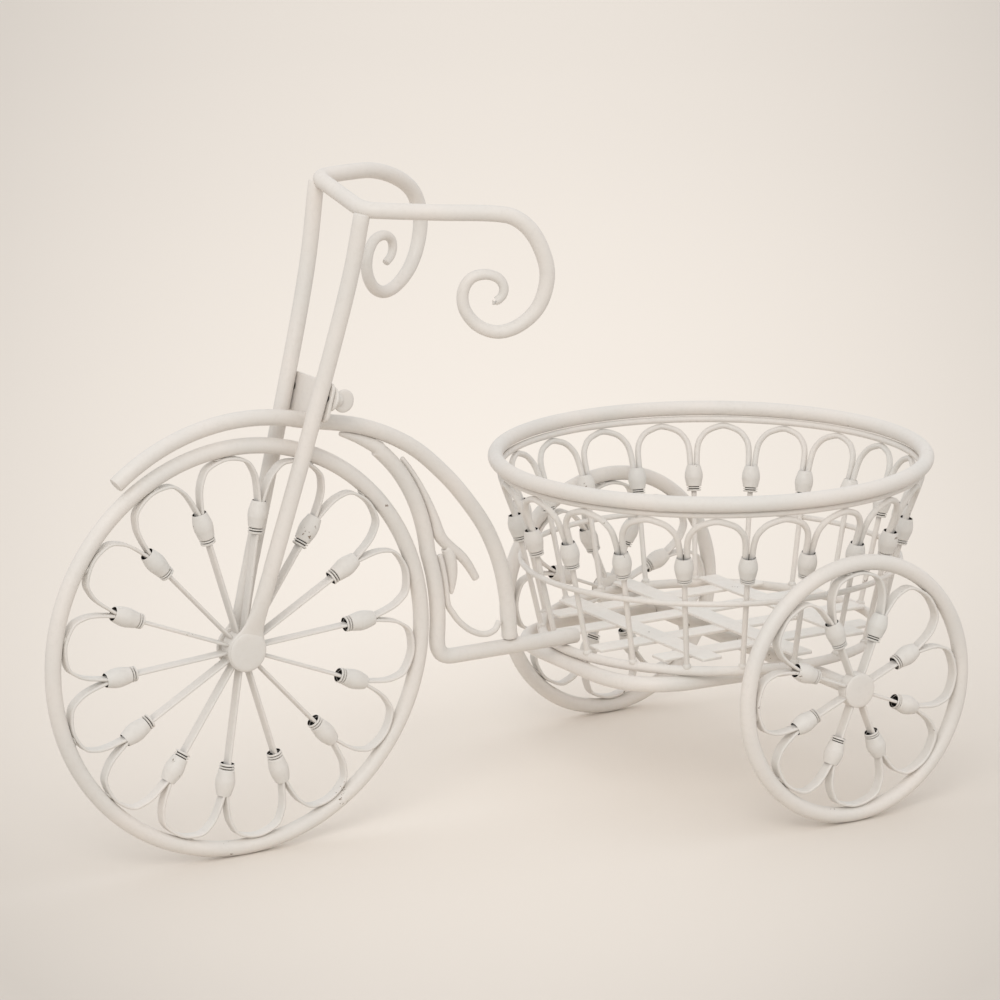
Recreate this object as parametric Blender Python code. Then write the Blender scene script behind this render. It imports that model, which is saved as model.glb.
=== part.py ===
"""Tricycle planter: a painted metal tricycle that carries a round plant basket.

Metres, +Z up, origin on the floor below the middle of the whole piece.
The front wheel is at -X, the basket and the two rear wheels are at +X.
"""

import math

import bmesh
import bpy
from mathutils import Vector

MM = 0.001

# Stock and clearances
GAP = 0.3 * MM
TUBE_R = 4.0 * MM
WIRE_R = 1.6 * MM
RING_R = 1.75 * MM
STRIP_WIDTH = 6.4 * MM
STRIP_THICK = 1.6 * MM
OVERRUN = 5.0 * MM
ROUND_STEPS = 16
TUBE_DETAIL = 2
WIRE_DETAIL = 1

# Wheels
FRONT_RADIUS = 105.0 * MM
REAR_RADIUS = 69.0 * MM
FRONT_LOBES = 14
REAR_LOBES = 8
FRONT_LOBE_DEPTH = 38.2 * MM
REAR_LOBE_DEPTH = 36.5 * MM
FRONT_PHASE = math.radians(3.9)
REAR_PHASE = math.radians(22.5)
CLIP_LENGTH = 14.0 * MM
CLIP_RADIUS = 4.9 * MM
FRONT_HUB_RADIUS = 9.0 * MM
REAR_HUB_RADIUS = 8.8 * MM
HUB_HALF = 4.5 * MM
REAR_HUB_HALF = 3.3 * MM
HUB_CHAMFER = 0.8 * MM
AXLE_RADIUS = 3.0 * MM
AXLE_HEAD_RADIUS = 9.6 * MM
AXLE_HEAD_THICK = 0.8 * MM
AXLE_CAP_THICK = 1.0 * MM

# Fork and handlebar
BAR_HEIGHT = 324.2 * MM
FORK_TOP_DROP = 3.2 * MM
FORK_TRAIL = 58.0 * MM
FORK_BOW = 2.9 * MM
FORK_SHOULDER_SHARE = 0.607
FORK_TOP_HALF = 24.2 * MM
FORK_EYE_RADIUS = 10.3 * MM
FORK_EYE_THICK = 2.4 * MM
FORK_FOOT_RADIUS = 2.8 * MM
FORK_FOOT_RISE = 9.0 * MM
FORK_TAPER_RISE = 38.0 * MM
FORK_COPE = 1.2 * MM
BAR_ROLL = math.radians(10.8)
NEAR_GRIP_PITCH = math.radians(2.6)
FAR_GRIP_PITCH = math.radians(-9.2)
GRIP_SPLAY = math.radians(22.6)
GRIP_REACH = 87.7 * MM
GRIP_DROP = 59.7 * MM
GRIP_END_RADIUS = 2.1 * MM
CORNER_RADIUS = 8.0 * MM

# Crown: the plate behind the legs, the two studs in the legs and their thumb nuts
CROWN_RISE = 13.3 * MM
CROWN_MARGIN = 3.6 * MM
CROWN_BELOW = 12.0 * MM
CROWN_ABOVE = 7.5 * MM
CROWN_THICK = 1.8 * MM
SADDLE_HALF_WIDTH = 7.0 * MM
SADDLE_DEPTH = 5.0 * MM
SADDLE_TOP = 3.0 * MM
SADDLE_BOTTOM = 17.0 * MM
STUD_RADIUS = 2.0 * MM
STUD_DEPTH = 1.5 * MM
STUD_TIP = 4.2 * MM
NUT_FLANGE_RADIUS = 6.0 * MM
NUT_FLANGE_THICK = 1.8 * MM
NUT_NECK_RADIUS = 3.4 * MM
NUT_NECK_LENGTH = 3.0 * MM
PADDLE_LENGTH = 10.0 * MM
PADDLE_HALF_HEIGHT = 5.7 * MM
PADDLE_THICK = 2.2 * MM

# Frame tubes and scrolls
FENDER_END_GAP = 2.2 * MM
FENDER_TOP_GAP = 6.6 * MM
FENDER_START = math.radians(126.0)
FENDER_CROWN = math.radians(72.0)
STAY_GAP = 1.6 * MM
STAY_TOP_GAP = 10.0 * MM
STAY_BEND = 9.0 * MM
STAY_TIP = math.radians(57.5)
STAY_TOP = math.radians(49.0)
STAY_SWELL = math.radians(18.0)
STAY_DROP = 11.5 * MM
SCROLL_ROOM = 47.5 * MM
DOWN_TUBE_SETBACK = 34.0 * MM
STAY_RUN_ON = 6.0 * MM
SCROLL_R = 2.0 * MM
SCROLL_THICK_R = 3.2 * MM
THIN_SCROLL_R = 1.6 * MM
FORGED_TIP_R = 1.2 * MM
SCROLL_TIP_GAP = 0.6 * MM

# Basket: its clips and hoop stand at shares of its height and flare
BASKET_RIM_RADIUS = 111.0 * MM
BASKET_HEIGHT = 91.6 * MM
BASKET_FLARE = 23.5 * MM
BASKET_SETBACK = 11.0 * MM
BASKET_BAYS = 20
RING_INSET = 2.0 * MM
CLIP_HEIGHT_SHARE = 0.607
CLIP_FLARE_SHARE = 0.532
HOOP_HEIGHT_SHARE = 0.410
HOOP_R = 1.5 * MM
FOOT_RING_R = 2.5 * MM
FOOT_RING_CLEARANCE = 1.5 * MM
WHEEL_CLEARANCE = 6.6 * MM
RIB_SIDE_GAP = 0.5 * MM
WELD_DEPTH = 0.7 * MM
SLAT_WIDTH = 12.0 * MM
SLAT_THICK = 1.6 * MM
SLAT_LAP = 0.4 * MM
SLAT_END_GAP = 0.5 * MM

# The bays are spaced by hand: their shift, its swing round the basket, and where it is greatest
BAY_SHIFT = math.radians(-3.6)
BAY_SWING = math.radians(2.9)
BAY_SWING_AT = math.radians(256.0)

# Places across the foot ring, as shares of its radius
SLAT_SHARES = (-0.571, -0.206, 0.206, 0.571)
CROSS_SLAT_SHARES = (-0.503, 0.0, 0.503)
RAIL_SHARE = 0.743
RAIL_BEND_SHARE = 0.48

# Places that follow from the sizes above
FORK_TOP_HEIGHT = BAR_HEIGHT - FORK_TOP_DROP
FOOT_RING_RADIUS = BASKET_RIM_RADIUS - BASKET_FLARE
FOOT_RING_HEIGHT = REAR_RADIUS + TUBE_R + FOOT_RING_CLEARANCE + FOOT_RING_R
BASKET_RIM_HEIGHT = FOOT_RING_HEIGHT + BASKET_HEIGHT
BASKET_CLIP_HEIGHT = FOOT_RING_HEIGHT + BASKET_HEIGHT * CLIP_HEIGHT_SHARE
BASKET_CLIP_RADIUS = FOOT_RING_RADIUS + BASKET_FLARE * CLIP_FLARE_SHARE
HOOP_HEIGHT = FOOT_RING_HEIGHT + BASKET_HEIGHT * HOOP_HEIGHT_SHARE
TRACK = 2 * (BASKET_CLIP_RADIUS + CLIP_RADIUS + WHEEL_CLEARANCE + TUBE_R)
WHEELBASE = FRONT_RADIUS + SCROLL_ROOM + DOWN_TUBE_SETBACK + FOOT_RING_RADIUS + BASKET_SETBACK
CENTRE_SHIFT = (FRONT_RADIUS - (WHEELBASE - BASKET_SETBACK + BASKET_RIM_RADIUS + TUBE_R)) / 2
FRONT_AXLE = Vector((CENTRE_SHIFT, 0, FRONT_RADIUS))
REAR_AXLE = Vector((CENTRE_SHIFT + WHEELBASE, 0, REAR_RADIUS))
BASKET_AXIS = Vector((REAR_AXLE.x - BASKET_SETBACK, 0, 0))
DOWN_TUBE_X = FRONT_AXLE.x + FRONT_RADIUS + SCROLL_ROOM

# The ribs start from the one that stands beside the stay's level run
BASKET_PITCH = math.tau / BASKET_BAYS
BASKET_PHASE = math.pi - math.asin((TUBE_R + WIRE_R + RIB_SIDE_GAP) / FOOT_RING_RADIUS)

# Half outline of one lobe: share of the half pitch, share of the height
LOBE_SHARES = ((0.07, 0.15), (0.17, 0.42), (0.30, 0.68), (0.52, 0.90), (1.0, 1.0))

# Half outline of one arch of the basket, after its root: the same shares
ARCH_SHARES = ((0.13, 0.34), (0.18, 0.55), (0.28, 0.70), (0.44, 0.84), (0.66, 0.93), (1.0, 1.0))
ARCH_ROOT_SHARE = 0.12

# Bulge of a barrel clip: share of its length, share of its radius
BARREL_SHARES = ((0.0, 0.70), (0.27, 1.0), (0.73, 1.0), (1.0, 0.70))

# Dome of an axle's head: share of its thickness, share of its radius
DOME_SHARES = ((0.0, 1.0), (0.6, 0.89), (1.0, 0.52))

# Grip scroll: share of the reach, share of the drop
GRIP_SHARES = (
    (0.0, 0.0),
    (0.41, 0.02),
    (0.72, 0.03),
    (0.85, 0.075),
    (0.945, 0.22),
    (1.0, 0.46),
    (0.985, 0.66),
    (0.925, 0.83),
    (0.82, 0.955),
    (0.706, 1.0),
    (0.60, 0.945),
    (0.533, 0.815),
    (0.528, 0.67),
    (0.575, 0.56),
    (0.655, 0.525),
    (0.725, 0.555),
    (0.755, 0.625),
    (0.745, 0.70),
    (0.70, 0.76),
)

# Down tube behind the wheel: shares of the way from the crown to the foot
DOWN_TUBE_SHARES = (
    (0.0, 0.0),
    (0.28, 0.055),
    (0.51, 0.155),
    (0.68, 0.29),
    (0.80, 0.42),
    (0.89, 0.545),
    (0.955, 0.69),
    (0.99, 0.85),
    (1.0, 1.0),
)

# Upper scroll's free end, measured from the rod's last point beside the stay
UPPER_SCROLL_SHARES = ((0.12, 0.16), (0.35, 0.34), (0.58, 0.50), (0.78, 0.70), (1.0, 1.0))
UPPER_SCROLL_START = math.radians(43.0)
UPPER_SCROLL_LEAVES = math.radians(22.0)
UPPER_SCROLL_REACH_SHARE = 0.53
UPPER_SCROLL_END_SHARE = 0.524

# Leaf on the upper scroll: where it starts and ends, and its thickness along the way
LEAF_TOP = math.radians(18.5)
LEAF_END = math.radians(5.5)
LEAF_THICKNESS_SHARES = (0.9, 1.0, 1.0, 0.78, 0.3)

# Lower scroll after it leaves the stay: share of the room to the down tube, share of its drop
LOWER_SCROLL_SHARES = (
    (0.03, 0.31),
    (0.125, 0.50),
    (0.266, 0.707),
    (0.479, 0.90),
    (0.715, 1.0),
    (0.908, 0.95),
    (1.0, 0.785),
)
LOWER_SCROLL_LIFT = 8.4 * MM
LOWER_SCROLL_START = math.radians(16.0)
LOWER_SCROLL_LEAVES = math.radians(7.0)


def clear_scene():
    for old in list(bpy.data.objects):
        bpy.data.objects.remove(old, do_unlink=True)


def paint(name, colour, roughness):
    material = bpy.data.materials.new(name)
    material.use_nodes = True
    shader = material.node_tree.nodes["Principled BSDF"]
    shader.inputs["Base Color"].default_value = (*colour, 1)
    shader.inputs["Roughness"].default_value = roughness
    shader.inputs["Metallic"].default_value = 0
    return material


def add_object(name, mesh, colour, parent=None):
    obj = bpy.data.objects.new(name, mesh)
    bpy.context.collection.objects.link(obj)
    mesh.shade_smooth()
    mesh.set_sharp_from_angle(angle=math.radians(45))
    if not mesh.materials:
        material = paint(name + "_paint", *colour)
        mesh.materials.append(material)
    obj.parent = parent
    return obj


def add_pivot(name, place):
    pivot = bpy.data.objects.new(name, None)
    pivot.location = place
    bpy.context.collection.objects.link(pivot)
    return pivot


def finished(bm, name):
    bmesh.ops.remove_doubles(bm, verts=bm.verts, dist=GAP * 0.001)
    bmesh.ops.recalc_face_normals(bm, faces=bm.faces)
    mesh = bpy.data.meshes.new(name)
    bm.to_mesh(mesh)
    bm.free()
    return mesh


def loft(name, rings):
    """Skin a row of equal rings and close both ends."""
    bm = bmesh.new()
    rows = [[bm.verts.new(point) for point in ring] for ring in rings]
    count = len(rings[0])
    for low, high in zip(rows, rows[1:]):
        for i in range(count):
            j = (i + 1) % count
            bm.faces.new((low[i], low[j], high[j], high[i]))
    bm.faces.new(rows[0])
    bm.faces.new(rows[-1])
    return finished(bm, name)


def turned(name, profile, steps, place=Vector(), axis=Vector((0, 1, 0))):
    """Solid of revolution without a bore: profile is (distance along the axis, radius)."""
    across = axis.orthogonal().normalized()
    other = axis.cross(across)
    rings = []
    for along, radius in profile:
        ring = []
        for i in range(steps):
            turn = math.tau * i / steps
            side = across * math.cos(turn) + other * math.sin(turn)
            ring.append(place + axis * along + side * radius)
        rings.append(ring)
    return loft(name, rings)


def ring_solid(name, profile, steps):
    """Solid of revolution about Y with a bore: profile is a closed (radius, along) outline."""
    bm = bmesh.new()
    verts = [bm.verts.new((radius, along, 0)) for radius, along in profile]
    edges = [bm.edges.new((a, b)) for a, b in zip(verts, verts[1:] + verts[:1])]
    bmesh.ops.spin(bm, geom=verts + edges, cent=(0, 0, 0), axis=(0, 1, 0),
                   angle=math.tau, steps=steps, use_merge=True)
    return finished(bm, name)


def torus(name, radius, thick, steps, sides, phase, upright):
    """Ring tube. Upright rings stand in the XZ plane, the others lie flat."""
    bm = bmesh.new()
    rows = []
    for i in range(steps):
        turn = phase + math.tau * i / steps
        out = Vector((math.cos(turn), math.sin(turn), 0))
        row = []
        for j in range(sides):
            lean = math.tau * j / sides
            point = out * (radius + thick * math.cos(lean))
            point.z = thick * math.sin(lean)
            if upright:
                point = Vector((point.x, point.z, point.y))
            row.append(bm.verts.new(point))
        rows.append(row)
    for i in range(steps):
        low, high = rows[i], rows[(i + 1) % steps]
        for j in range(sides):
            k = (j + 1) % sides
            bm.faces.new((low[j], low[k], high[k], high[j]))
    return finished(bm, name)


def smooth_path(points, steps, closed=False):
    """Points along a smooth curve through the given points, which stay on it."""
    count = len(points)
    path = []
    spans = count if closed else count - 1
    for i in range(spans):
        if closed:
            a, b, c, d = (points[(i + k - 1) % count] for k in range(4))
        else:
            b, c = points[i], points[i + 1]
            a = points[i - 1] if i else b * 2 - c
            d = points[i + 2] if i + 2 < count else c * 2 - b
        for k in range(steps):
            t = k / steps
            path.append(0.5 * (2 * b + (c - a) * t + (2 * a - 5 * b + 4 * c - d) * t ** 2
                               + (3 * b - a - 3 * c + d) * t ** 3))
    if not closed:
        path.append(points[-1].copy())
    return path


def rod(name, points, radii, detail, closed=False):
    """Round bar along the points, with a radius at each point."""
    curve = bpy.data.curves.new(name, "CURVE")
    curve.dimensions = "3D"
    curve.bevel_depth = radii[0]
    curve.bevel_resolution = detail
    curve.use_fill_caps = not closed
    spline = curve.splines.new("POLY")
    spline.points.add(len(points) - 1)
    for knot, point, radius in zip(spline.points, points, radii):
        knot.co = (*point, 1)
        knot.radius = radius / radii[0]
    spline.use_cyclic_u = closed
    return curve_mesh(name, curve)


def curve_mesh(name, curve):
    holder = bpy.data.objects.new(name, curve)
    bpy.context.collection.objects.link(holder)
    graph = bpy.context.evaluated_depsgraph_get()
    mesh = bpy.data.meshes.new_from_object(holder.evaluated_get(graph))
    bpy.data.objects.remove(holder)
    bm = bmesh.new()
    bm.from_mesh(mesh)
    return finished(bm, name)


def flat_band(name, points, width, thick):
    """Flat strip on edge along a closed path in the XZ plane."""
    bm = bmesh.new()
    rows = []
    count = len(points)
    for i, point in enumerate(points):
        before = (point - points[i - 1]).normalized()
        after = (points[(i + 1) % count] - point).normalized()
        along = (before + after).normalized()
        normal = Vector((-along.z, 0, along.x)) * thick / 2
        side = Vector((0, width / 2, 0))
        corners = (normal + side, normal - side, -normal - side, side - normal)
        rows.append([bm.verts.new(point + corner) for corner in corners])
    for i in range(count):
        low, high = rows[i], rows[(i + 1) % count]
        for j in range(4):
            k = (j + 1) % 4
            bm.faces.new((low[j], low[k], high[k], high[j]))
    return finished(bm, name)


def as_tool(mesh, name):
    tool = bpy.data.objects.new(name, mesh)
    bpy.context.collection.objects.link(tool)
    tool.hide_render = True
    tool.display_type = "WIRE"
    return tool


def combine(target, mesh, operation):
    """Join to, or cut from, the target another closed shape."""
    tool = as_tool(mesh, target.name + "_" + operation.lower())
    tool.parent = target.parent
    change = target.modifiers.new(operation.title(), "BOOLEAN")
    change.operation = operation
    change.solver = "EXACT"
    change.object = tool
    return target


def joined(name, meshes):
    """One mesh that holds several shapes, for use as a tool."""
    bm = bmesh.new()
    for mesh in meshes:
        bm.from_mesh(mesh)
    return finished(bm, name)


def box(name, low, high):
    bm = bmesh.new()
    corners = [(x, y) for x, y in ((low.x, low.y), (high.x, low.y), (high.x, high.y), (low.x, high.y))]
    bottom = [bm.verts.new((x, y, low.z)) for x, y in corners]
    face = bm.faces.new(bottom)
    top = bmesh.ops.extrude_face_region(bm, geom=[face])["geom"]
    verts = [item for item in top if isinstance(item, bmesh.types.BMVert)]
    bmesh.ops.translate(bm, verts=verts, vec=(0, 0, high.z - low.z))
    return finished(bm, name)


def polar(centre, radius, angle):
    return centre + Vector((radius * math.cos(angle), 0, radius * math.sin(angle)))


WHITE = ((0.74, 0.71, 0.66), 0.5)


def lobe_path(root, top, lobes, phase):
    """Closed path of a wheel's lobes: from clip to clip, touching the rim between."""
    half = math.pi / lobes
    points = []
    for i in range(lobes):
        clip = phase + 2 * half * i
        points.append(polar(Vector(), root, clip))
        for across, up in LOBE_SHARES:
            points.append(polar(Vector(), root + (top - root) * up, clip + half * across))
        for across, up in LOBE_SHARES[-2::-1]:
            points.append(polar(Vector(), root + (top - root) * up, clip + half * (2 - across)))
    return points


def eased_lobes(points, lobes):
    """Add one smooth point on each long span, and leave the tight roots as they are."""
    per_lobe = len(points) // lobes
    fine = smooth_path(points, 2, closed=True)
    kept = []
    for i, point in enumerate(fine):
        place = (i // 2) % per_lobe
        if i % 2 and place in (0, per_lobe - 1):
            continue
        kept.append(point)
    return kept


def barrel_rings(start, length, radius, sides, turn):
    rings = []
    for along, wide in BARREL_SHARES:
        ring = []
        for i in range(sides):
            angle = turn + math.tau * i / sides
            ring.append(Vector((start + length * along, radius * wide * math.cos(angle),
                                radius * wide * math.sin(angle))))
        rings.append(ring)
    return rings


def spoke_mesh(name, inner, clip_at):
    """Flat strip from the hub that ends in a barrel clip."""
    half_wide, half_thick = STRIP_WIDTH / 2, STRIP_THICK / 2
    outline = ((half_wide, -half_thick), (half_wide, half_thick), (0, half_thick),
               (-half_wide, half_thick), (-half_wide, -half_thick), (0, -half_thick))
    start = clip_at - CLIP_LENGTH / 2
    rings = [[Vector((x, y, z)) for y, z in outline] for x in (inner, start)]
    rings[1] = [Vector((start, point.y * 0.98, point.z)) for point in rings[1]]
    rings += barrel_rings(start, CLIP_LENGTH, CLIP_RADIUS, len(outline), math.radians(-30))
    return loft(name, rings)


def hub_mesh(name, radius, half):
    bore = AXLE_RADIUS + GAP
    profile = (
        (bore, -half),
        (radius - HUB_CHAMFER, -half),
        (radius, HUB_CHAMFER - half),
        (radius, half - HUB_CHAMFER),
        (radius - HUB_CHAMFER, half),
        (bore, half),
    )
    return ring_solid(name, profile, ROUND_STEPS)


def build_wheel(front, names, centre):
    """Rim, band of lobes, hub and spokes, all on one pivot at the axle."""
    rim_name, band_name, hub_name, spoke_name, pivot_name = names
    radius = FRONT_RADIUS if front else REAR_RADIUS
    lobes = FRONT_LOBES if front else REAR_LOBES
    phase = FRONT_PHASE if front else REAR_PHASE
    clip_at = radius - (FRONT_LOBE_DEPTH if front else REAR_LOBE_DEPTH)
    hub_radius = FRONT_HUB_RADIUS if front else REAR_HUB_RADIUS
    hub_half = HUB_HALF if front else REAR_HUB_HALF
    steps = 48 if front else 32
    pivot = add_pivot(pivot_name, centre)

    line = radius - TUBE_R
    add_object(rim_name, torus(rim_name, line, TUBE_R, steps, 8, 0, True), WHITE, pivot)

    root = clip_at + CLIP_LENGTH / 2 + GAP + STRIP_THICK / 2
    facet_sink = line * (1 - math.cos(math.pi / steps))
    top = line - TUBE_R - GAP - STRIP_THICK / 2 - facet_sink
    path = eased_lobes(lobe_path(root, top, lobes, phase), lobes)
    add_object(band_name, flat_band(band_name, path, STRIP_WIDTH, STRIP_THICK), WHITE, pivot)

    add_object(hub_name, hub_mesh(hub_name, hub_radius, hub_half), WHITE, pivot)

    spoke = spoke_mesh(spoke_name, hub_radius + GAP, clip_at)
    for i in range(lobes):
        piece = add_object("%s_%02d" % (spoke_name, i + 1), spoke, WHITE, pivot)
        piece.rotation_euler = (0, -phase - math.tau * i / lobes, 0)


def point_at_height(low, high, height):
    share = (height - low.z) / (high.z - low.z)
    return low + (high - low) * share


def fork_back():
    """Unit vector square to the fork's plane, pointing backward."""
    rise = FORK_TOP_HEIGHT - FRONT_AXLE.z
    return Vector((rise, 0, -FORK_TRAIL)).normalized()


def crown_height():
    """The studs stand a set distance above the fender, measured along the fork."""
    reach = FRONT_RADIUS + TUBE_R + FENDER_TOP_GAP + CROWN_RISE
    return FRONT_AXLE.z + reach * fork_back().x


def fork_line(side):
    """Foot, crown, shoulder and top of one leg, which leans back, spreads and bows a little."""
    foot_half = HUB_HALF + GAP + FORK_FOOT_RADIUS
    foot = FRONT_AXLE + Vector((0, side * foot_half, 0))
    top = Vector((FRONT_AXLE.x + FORK_TRAIL, side * FORK_TOP_HALF, FORK_TOP_HEIGHT))
    low = crown_height()
    high = low + (FORK_TOP_HEIGHT - low) * FORK_SHOULDER_SHARE
    bow = Vector((FORK_BOW, 0, 0))
    crown = point_at_height(foot, top, low) + bow
    shoulder = point_at_height(foot, top, high) + bow
    return foot, crown, shoulder, top


def build_fork():
    back = fork_back()
    for side, name in ((-1, "fork_leg_left"), (1, "fork_leg_right")):
        foot, crown, shoulder, top = fork_line(side)
        low = point_at_height(foot, crown, FRONT_AXLE.z + FORK_FOOT_RISE)
        taper = point_at_height(foot, crown, FRONT_AXLE.z + FORK_TAPER_RISE)
        high = point_at_height(shoulder, top, bar_corner(side).z - FORK_COPE)
        points = [low, taper, crown, shoulder, high]
        radii = [FORK_FOOT_RADIUS] + [TUBE_R] * 4
        leg = add_object(name, rod(name, points, radii, TUBE_DETAIL), WHITE)
        inner = HUB_HALF + GAP
        outer = inner + FORK_EYE_THICK
        eye = turned(name + "_eye", ((side * inner, FORK_EYE_RADIUS), (side * outer, FORK_EYE_RADIUS)),
                     ROUND_STEPS + ROUND_STEPS // 2, FRONT_AXLE)
        combine(leg, eye, "UNION")
        bore_radius = AXLE_RADIUS + GAP
        reach = outer + OVERRUN
        bore = turned(name + "_bore", ((-reach, bore_radius), (reach, bore_radius)),
                      ROUND_STEPS, FRONT_AXLE)
        hole_radius = STUD_RADIUS + GAP
        hole = turned(name + "_hole", ((-STUD_DEPTH - GAP, hole_radius), (reach, hole_radius)),
                      ROUND_STEPS // 2, crown, back)
        path, sizes = handlebar_path()
        cope = rod(name + "_cope", path, [size + GAP for size in sizes], TUBE_DETAIL)
        combine(leg, joined(name + "_cuts", (bore, hole, cope)), "DIFFERENCE")


def bar_corner(side):
    """Corner on a leg's line, where the rolled crossbar turns into that side's grip."""
    shoulder, top = fork_line(side)[2:]
    height = BAR_HEIGHT + side * FORK_TOP_HALF * math.tan(BAR_ROLL)
    return point_at_height(shoulder, top, height)


def grip_points(side):
    """Scroll of one grip, from its corner on the crossbar to the curl's end."""
    corner = bar_corner(side)
    lean = math.tan(BAR_ROLL)
    pitch = NEAR_GRIP_PITCH if side < 0 else FAR_GRIP_PITCH
    along = Vector((math.cos(GRIP_SPLAY), side * math.sin(GRIP_SPLAY), 0))
    along.z = along.y * lean
    coarse = []
    for reach, drop in GRIP_SHARES:
        out = GRIP_REACH * reach * math.cos(pitch) + GRIP_DROP * drop * math.sin(pitch)
        fall = GRIP_DROP * drop * math.cos(pitch) - GRIP_REACH * reach * math.sin(pitch)
        coarse.append(corner + along * out - Vector((0, 0, fall)))
    start = (coarse[1] - corner).normalized()
    return corner, start, smooth_path(coarse, 2)[1:]


def handlebar_path():
    """Points and radii of one bent bar: grip, corner, crossbar, corner and grip."""
    halves = []
    for side in (-1, 1):
        corner, out, path = grip_points(side)
        inward = (bar_corner(-side) - corner).normalized()
        bend = []
        for i in range(4):
            t = i / 3
            a = corner + inward * CORNER_RADIUS
            b = corner + out * CORNER_RADIUS
            bend.append(a * (1 - t) ** 2 + corner * 2 * t * (1 - t) + b * t ** 2)
        path = [point for point in path if (point - corner).length > CORNER_RADIUS * 1.5]
        halves.append(bend + path)
    points = halves[0][::-1] + halves[1]
    count = len(halves[0])
    radii = []
    for i in range(len(points)):
        away = count - 1 - i if i < count else i - count
        share = max(0, away / (count - 1) - 0.25) / 0.75
        radii.append(TUBE_R + (GRIP_END_RADIUS - TUBE_R) * share)
    return points, radii


def build_handlebar():
    add_object("handlebar", rod("handlebar", *handlebar_path(), TUBE_DETAIL), WHITE)


def fender_height(angle):
    """Radius of the fender's centre line about the front axle."""
    share = (FENDER_START - angle) / (FENDER_START - FENDER_CROWN)
    gap = FENDER_END_GAP + (FENDER_TOP_GAP - FENDER_END_GAP) * min(1, max(0, share))
    return FRONT_RADIUS + TUBE_R + gap


def stay_floor():
    """Height of the stay's level run, which lies on the basket's foot ring."""
    return FOOT_RING_HEIGHT + FOOT_RING_R + GAP + TUBE_R


def upper_tube_path():
    steps = 9
    points = []
    for i in range(steps + 1):
        angle = FENDER_START + (FENDER_CROWN - FENDER_START) * i / steps
        points.append(polar(FRONT_AXLE, fender_height(angle), angle))
    start = points[-1]
    end = Vector((DOWN_TUBE_X, 0, stay_floor() + TUBE_R + GAP))
    span = end - start
    bend = [start + Vector((span.x * right, 0, span.z * down)) for right, down in DOWN_TUBE_SHARES]
    smooth = smooth_path(points[-3:] + bend[1:], 2)
    return points[:-3] + smooth


def stay_line(angle):
    """Centre line of the stay behind the wheel at an angle about the front axle."""
    share = max(0, (angle - STAY_SWELL) / (STAY_TOP - STAY_SWELL))
    gap = STAY_GAP + (STAY_TOP_GAP - STAY_GAP) * math.sin(share * math.pi / 2)
    return polar(FRONT_AXLE, FRONT_RADIUS + TUBE_R + gap, angle)


def under_fender(angle, radius):
    """Centre of a bar that lies along the fender's underside, at an angle about the front axle."""
    path = upper_tube_path()
    for a, b in zip(path, path[1:]):
        first = math.atan2(a.z - FRONT_AXLE.z, a.x - FRONT_AXLE.x)
        last = math.atan2(b.z - FRONT_AXLE.z, b.x - FRONT_AXLE.x)
        if last <= angle:
            break
    along = (b - a).normalized()
    inward = Vector((along.z, 0, -along.x))
    place = a + (b - a) * ((first - angle) / (first - last))
    return place + inward * (TUBE_R + GAP + radius)


def stay_tip():
    """Points and radii of the stay's end, hammered thin where it lies under the fender."""
    steps = 3
    points, radii = [], []
    for i in range(steps):
        share = i / steps
        radius = FORGED_TIP_R + (TUBE_R - FORGED_TIP_R) * share
        points.append(under_fender(STAY_TIP + (STAY_TOP - STAY_TIP) * share, radius))
        radii.append(radius)
    return points, radii


def stay_path():
    steps = 13
    level = stay_floor()
    foot_rise = level + STAY_DROP - FRONT_AXLE.z
    foot_angle = math.asin(foot_rise / (FRONT_RADIUS + TUBE_R + STAY_GAP))
    points = []
    for i in range(steps + 1):
        angle = STAY_TOP + (foot_angle - STAY_TOP) * i / steps
        points.append(stay_line(angle))
    foot = points[-1]
    corner = Vector((foot.x, 0, level))
    rise = min(STAY_BEND, (foot.z - level) * 0.95)
    for i in range(5):
        t = i / 4
        a = corner + Vector((0, 0, rise))
        b = corner + Vector((rise, 0, 0))
        points.append(a * (1 - t) ** 2 + corner * 2 * t * (1 - t) + b * t ** 2)
    points.append(Vector((BASKET_AXIS.x - FOOT_RING_RADIUS + STAY_RUN_ON, 0, level)))
    return points


def beside_stay(angle, radius, between=0):
    """Centre of a bar along the stay's back, or past a bar that lies between."""
    along = stay_line(angle) - stay_line(angle + math.radians(1))
    normal = Vector((-along.z, 0, along.x)).normalized()
    return stay_line(angle) + normal * (TUBE_R + radius + between + GAP * 1.5)


def upper_scroll_path():
    """Points and radii of the rod that swells out of the stay's back and swings away from it."""
    steps = 6
    points, radii = [], []
    for i in range(steps + 1):
        angle = UPPER_SCROLL_START + (UPPER_SCROLL_LEAVES - UPPER_SCROLL_START) * i / steps
        radius = FORGED_TIP_R + (SCROLL_THICK_R - FORGED_TIP_R) * (i / steps) ** 2
        points.append(beside_stay(angle, radius))
        radii.append(radius)
    start = points[-1]
    reach = (DOWN_TUBE_X - start.x) * UPPER_SCROLL_REACH_SHARE
    low = stay_floor() + LOWER_SCROLL_LIFT
    drop = (start.z - low) * (1 - UPPER_SCROLL_END_SHARE)
    for right, down in UPPER_SCROLL_SHARES:
        points.append(start + Vector((reach * right, 0, -drop * down)))
        radii.append(SCROLL_THICK_R + (SCROLL_R - SCROLL_THICK_R) * down)
    return points, radii


def leaf_path():
    """Points and radii of the leaf that hangs from the upper scroll, past the thin rod."""
    points, radii = [], []
    last = len(LEAF_THICKNESS_SHARES) - 1
    for i, share in enumerate(LEAF_THICKNESS_SHARES):
        angle = LEAF_TOP + (LEAF_END - LEAF_TOP) * i / last
        radius = SCROLL_THICK_R * share
        points.append(beside_stay(angle, radius, THIN_SCROLL_R * 2 + GAP))
        radii.append(radius)
    return points, radii


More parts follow.
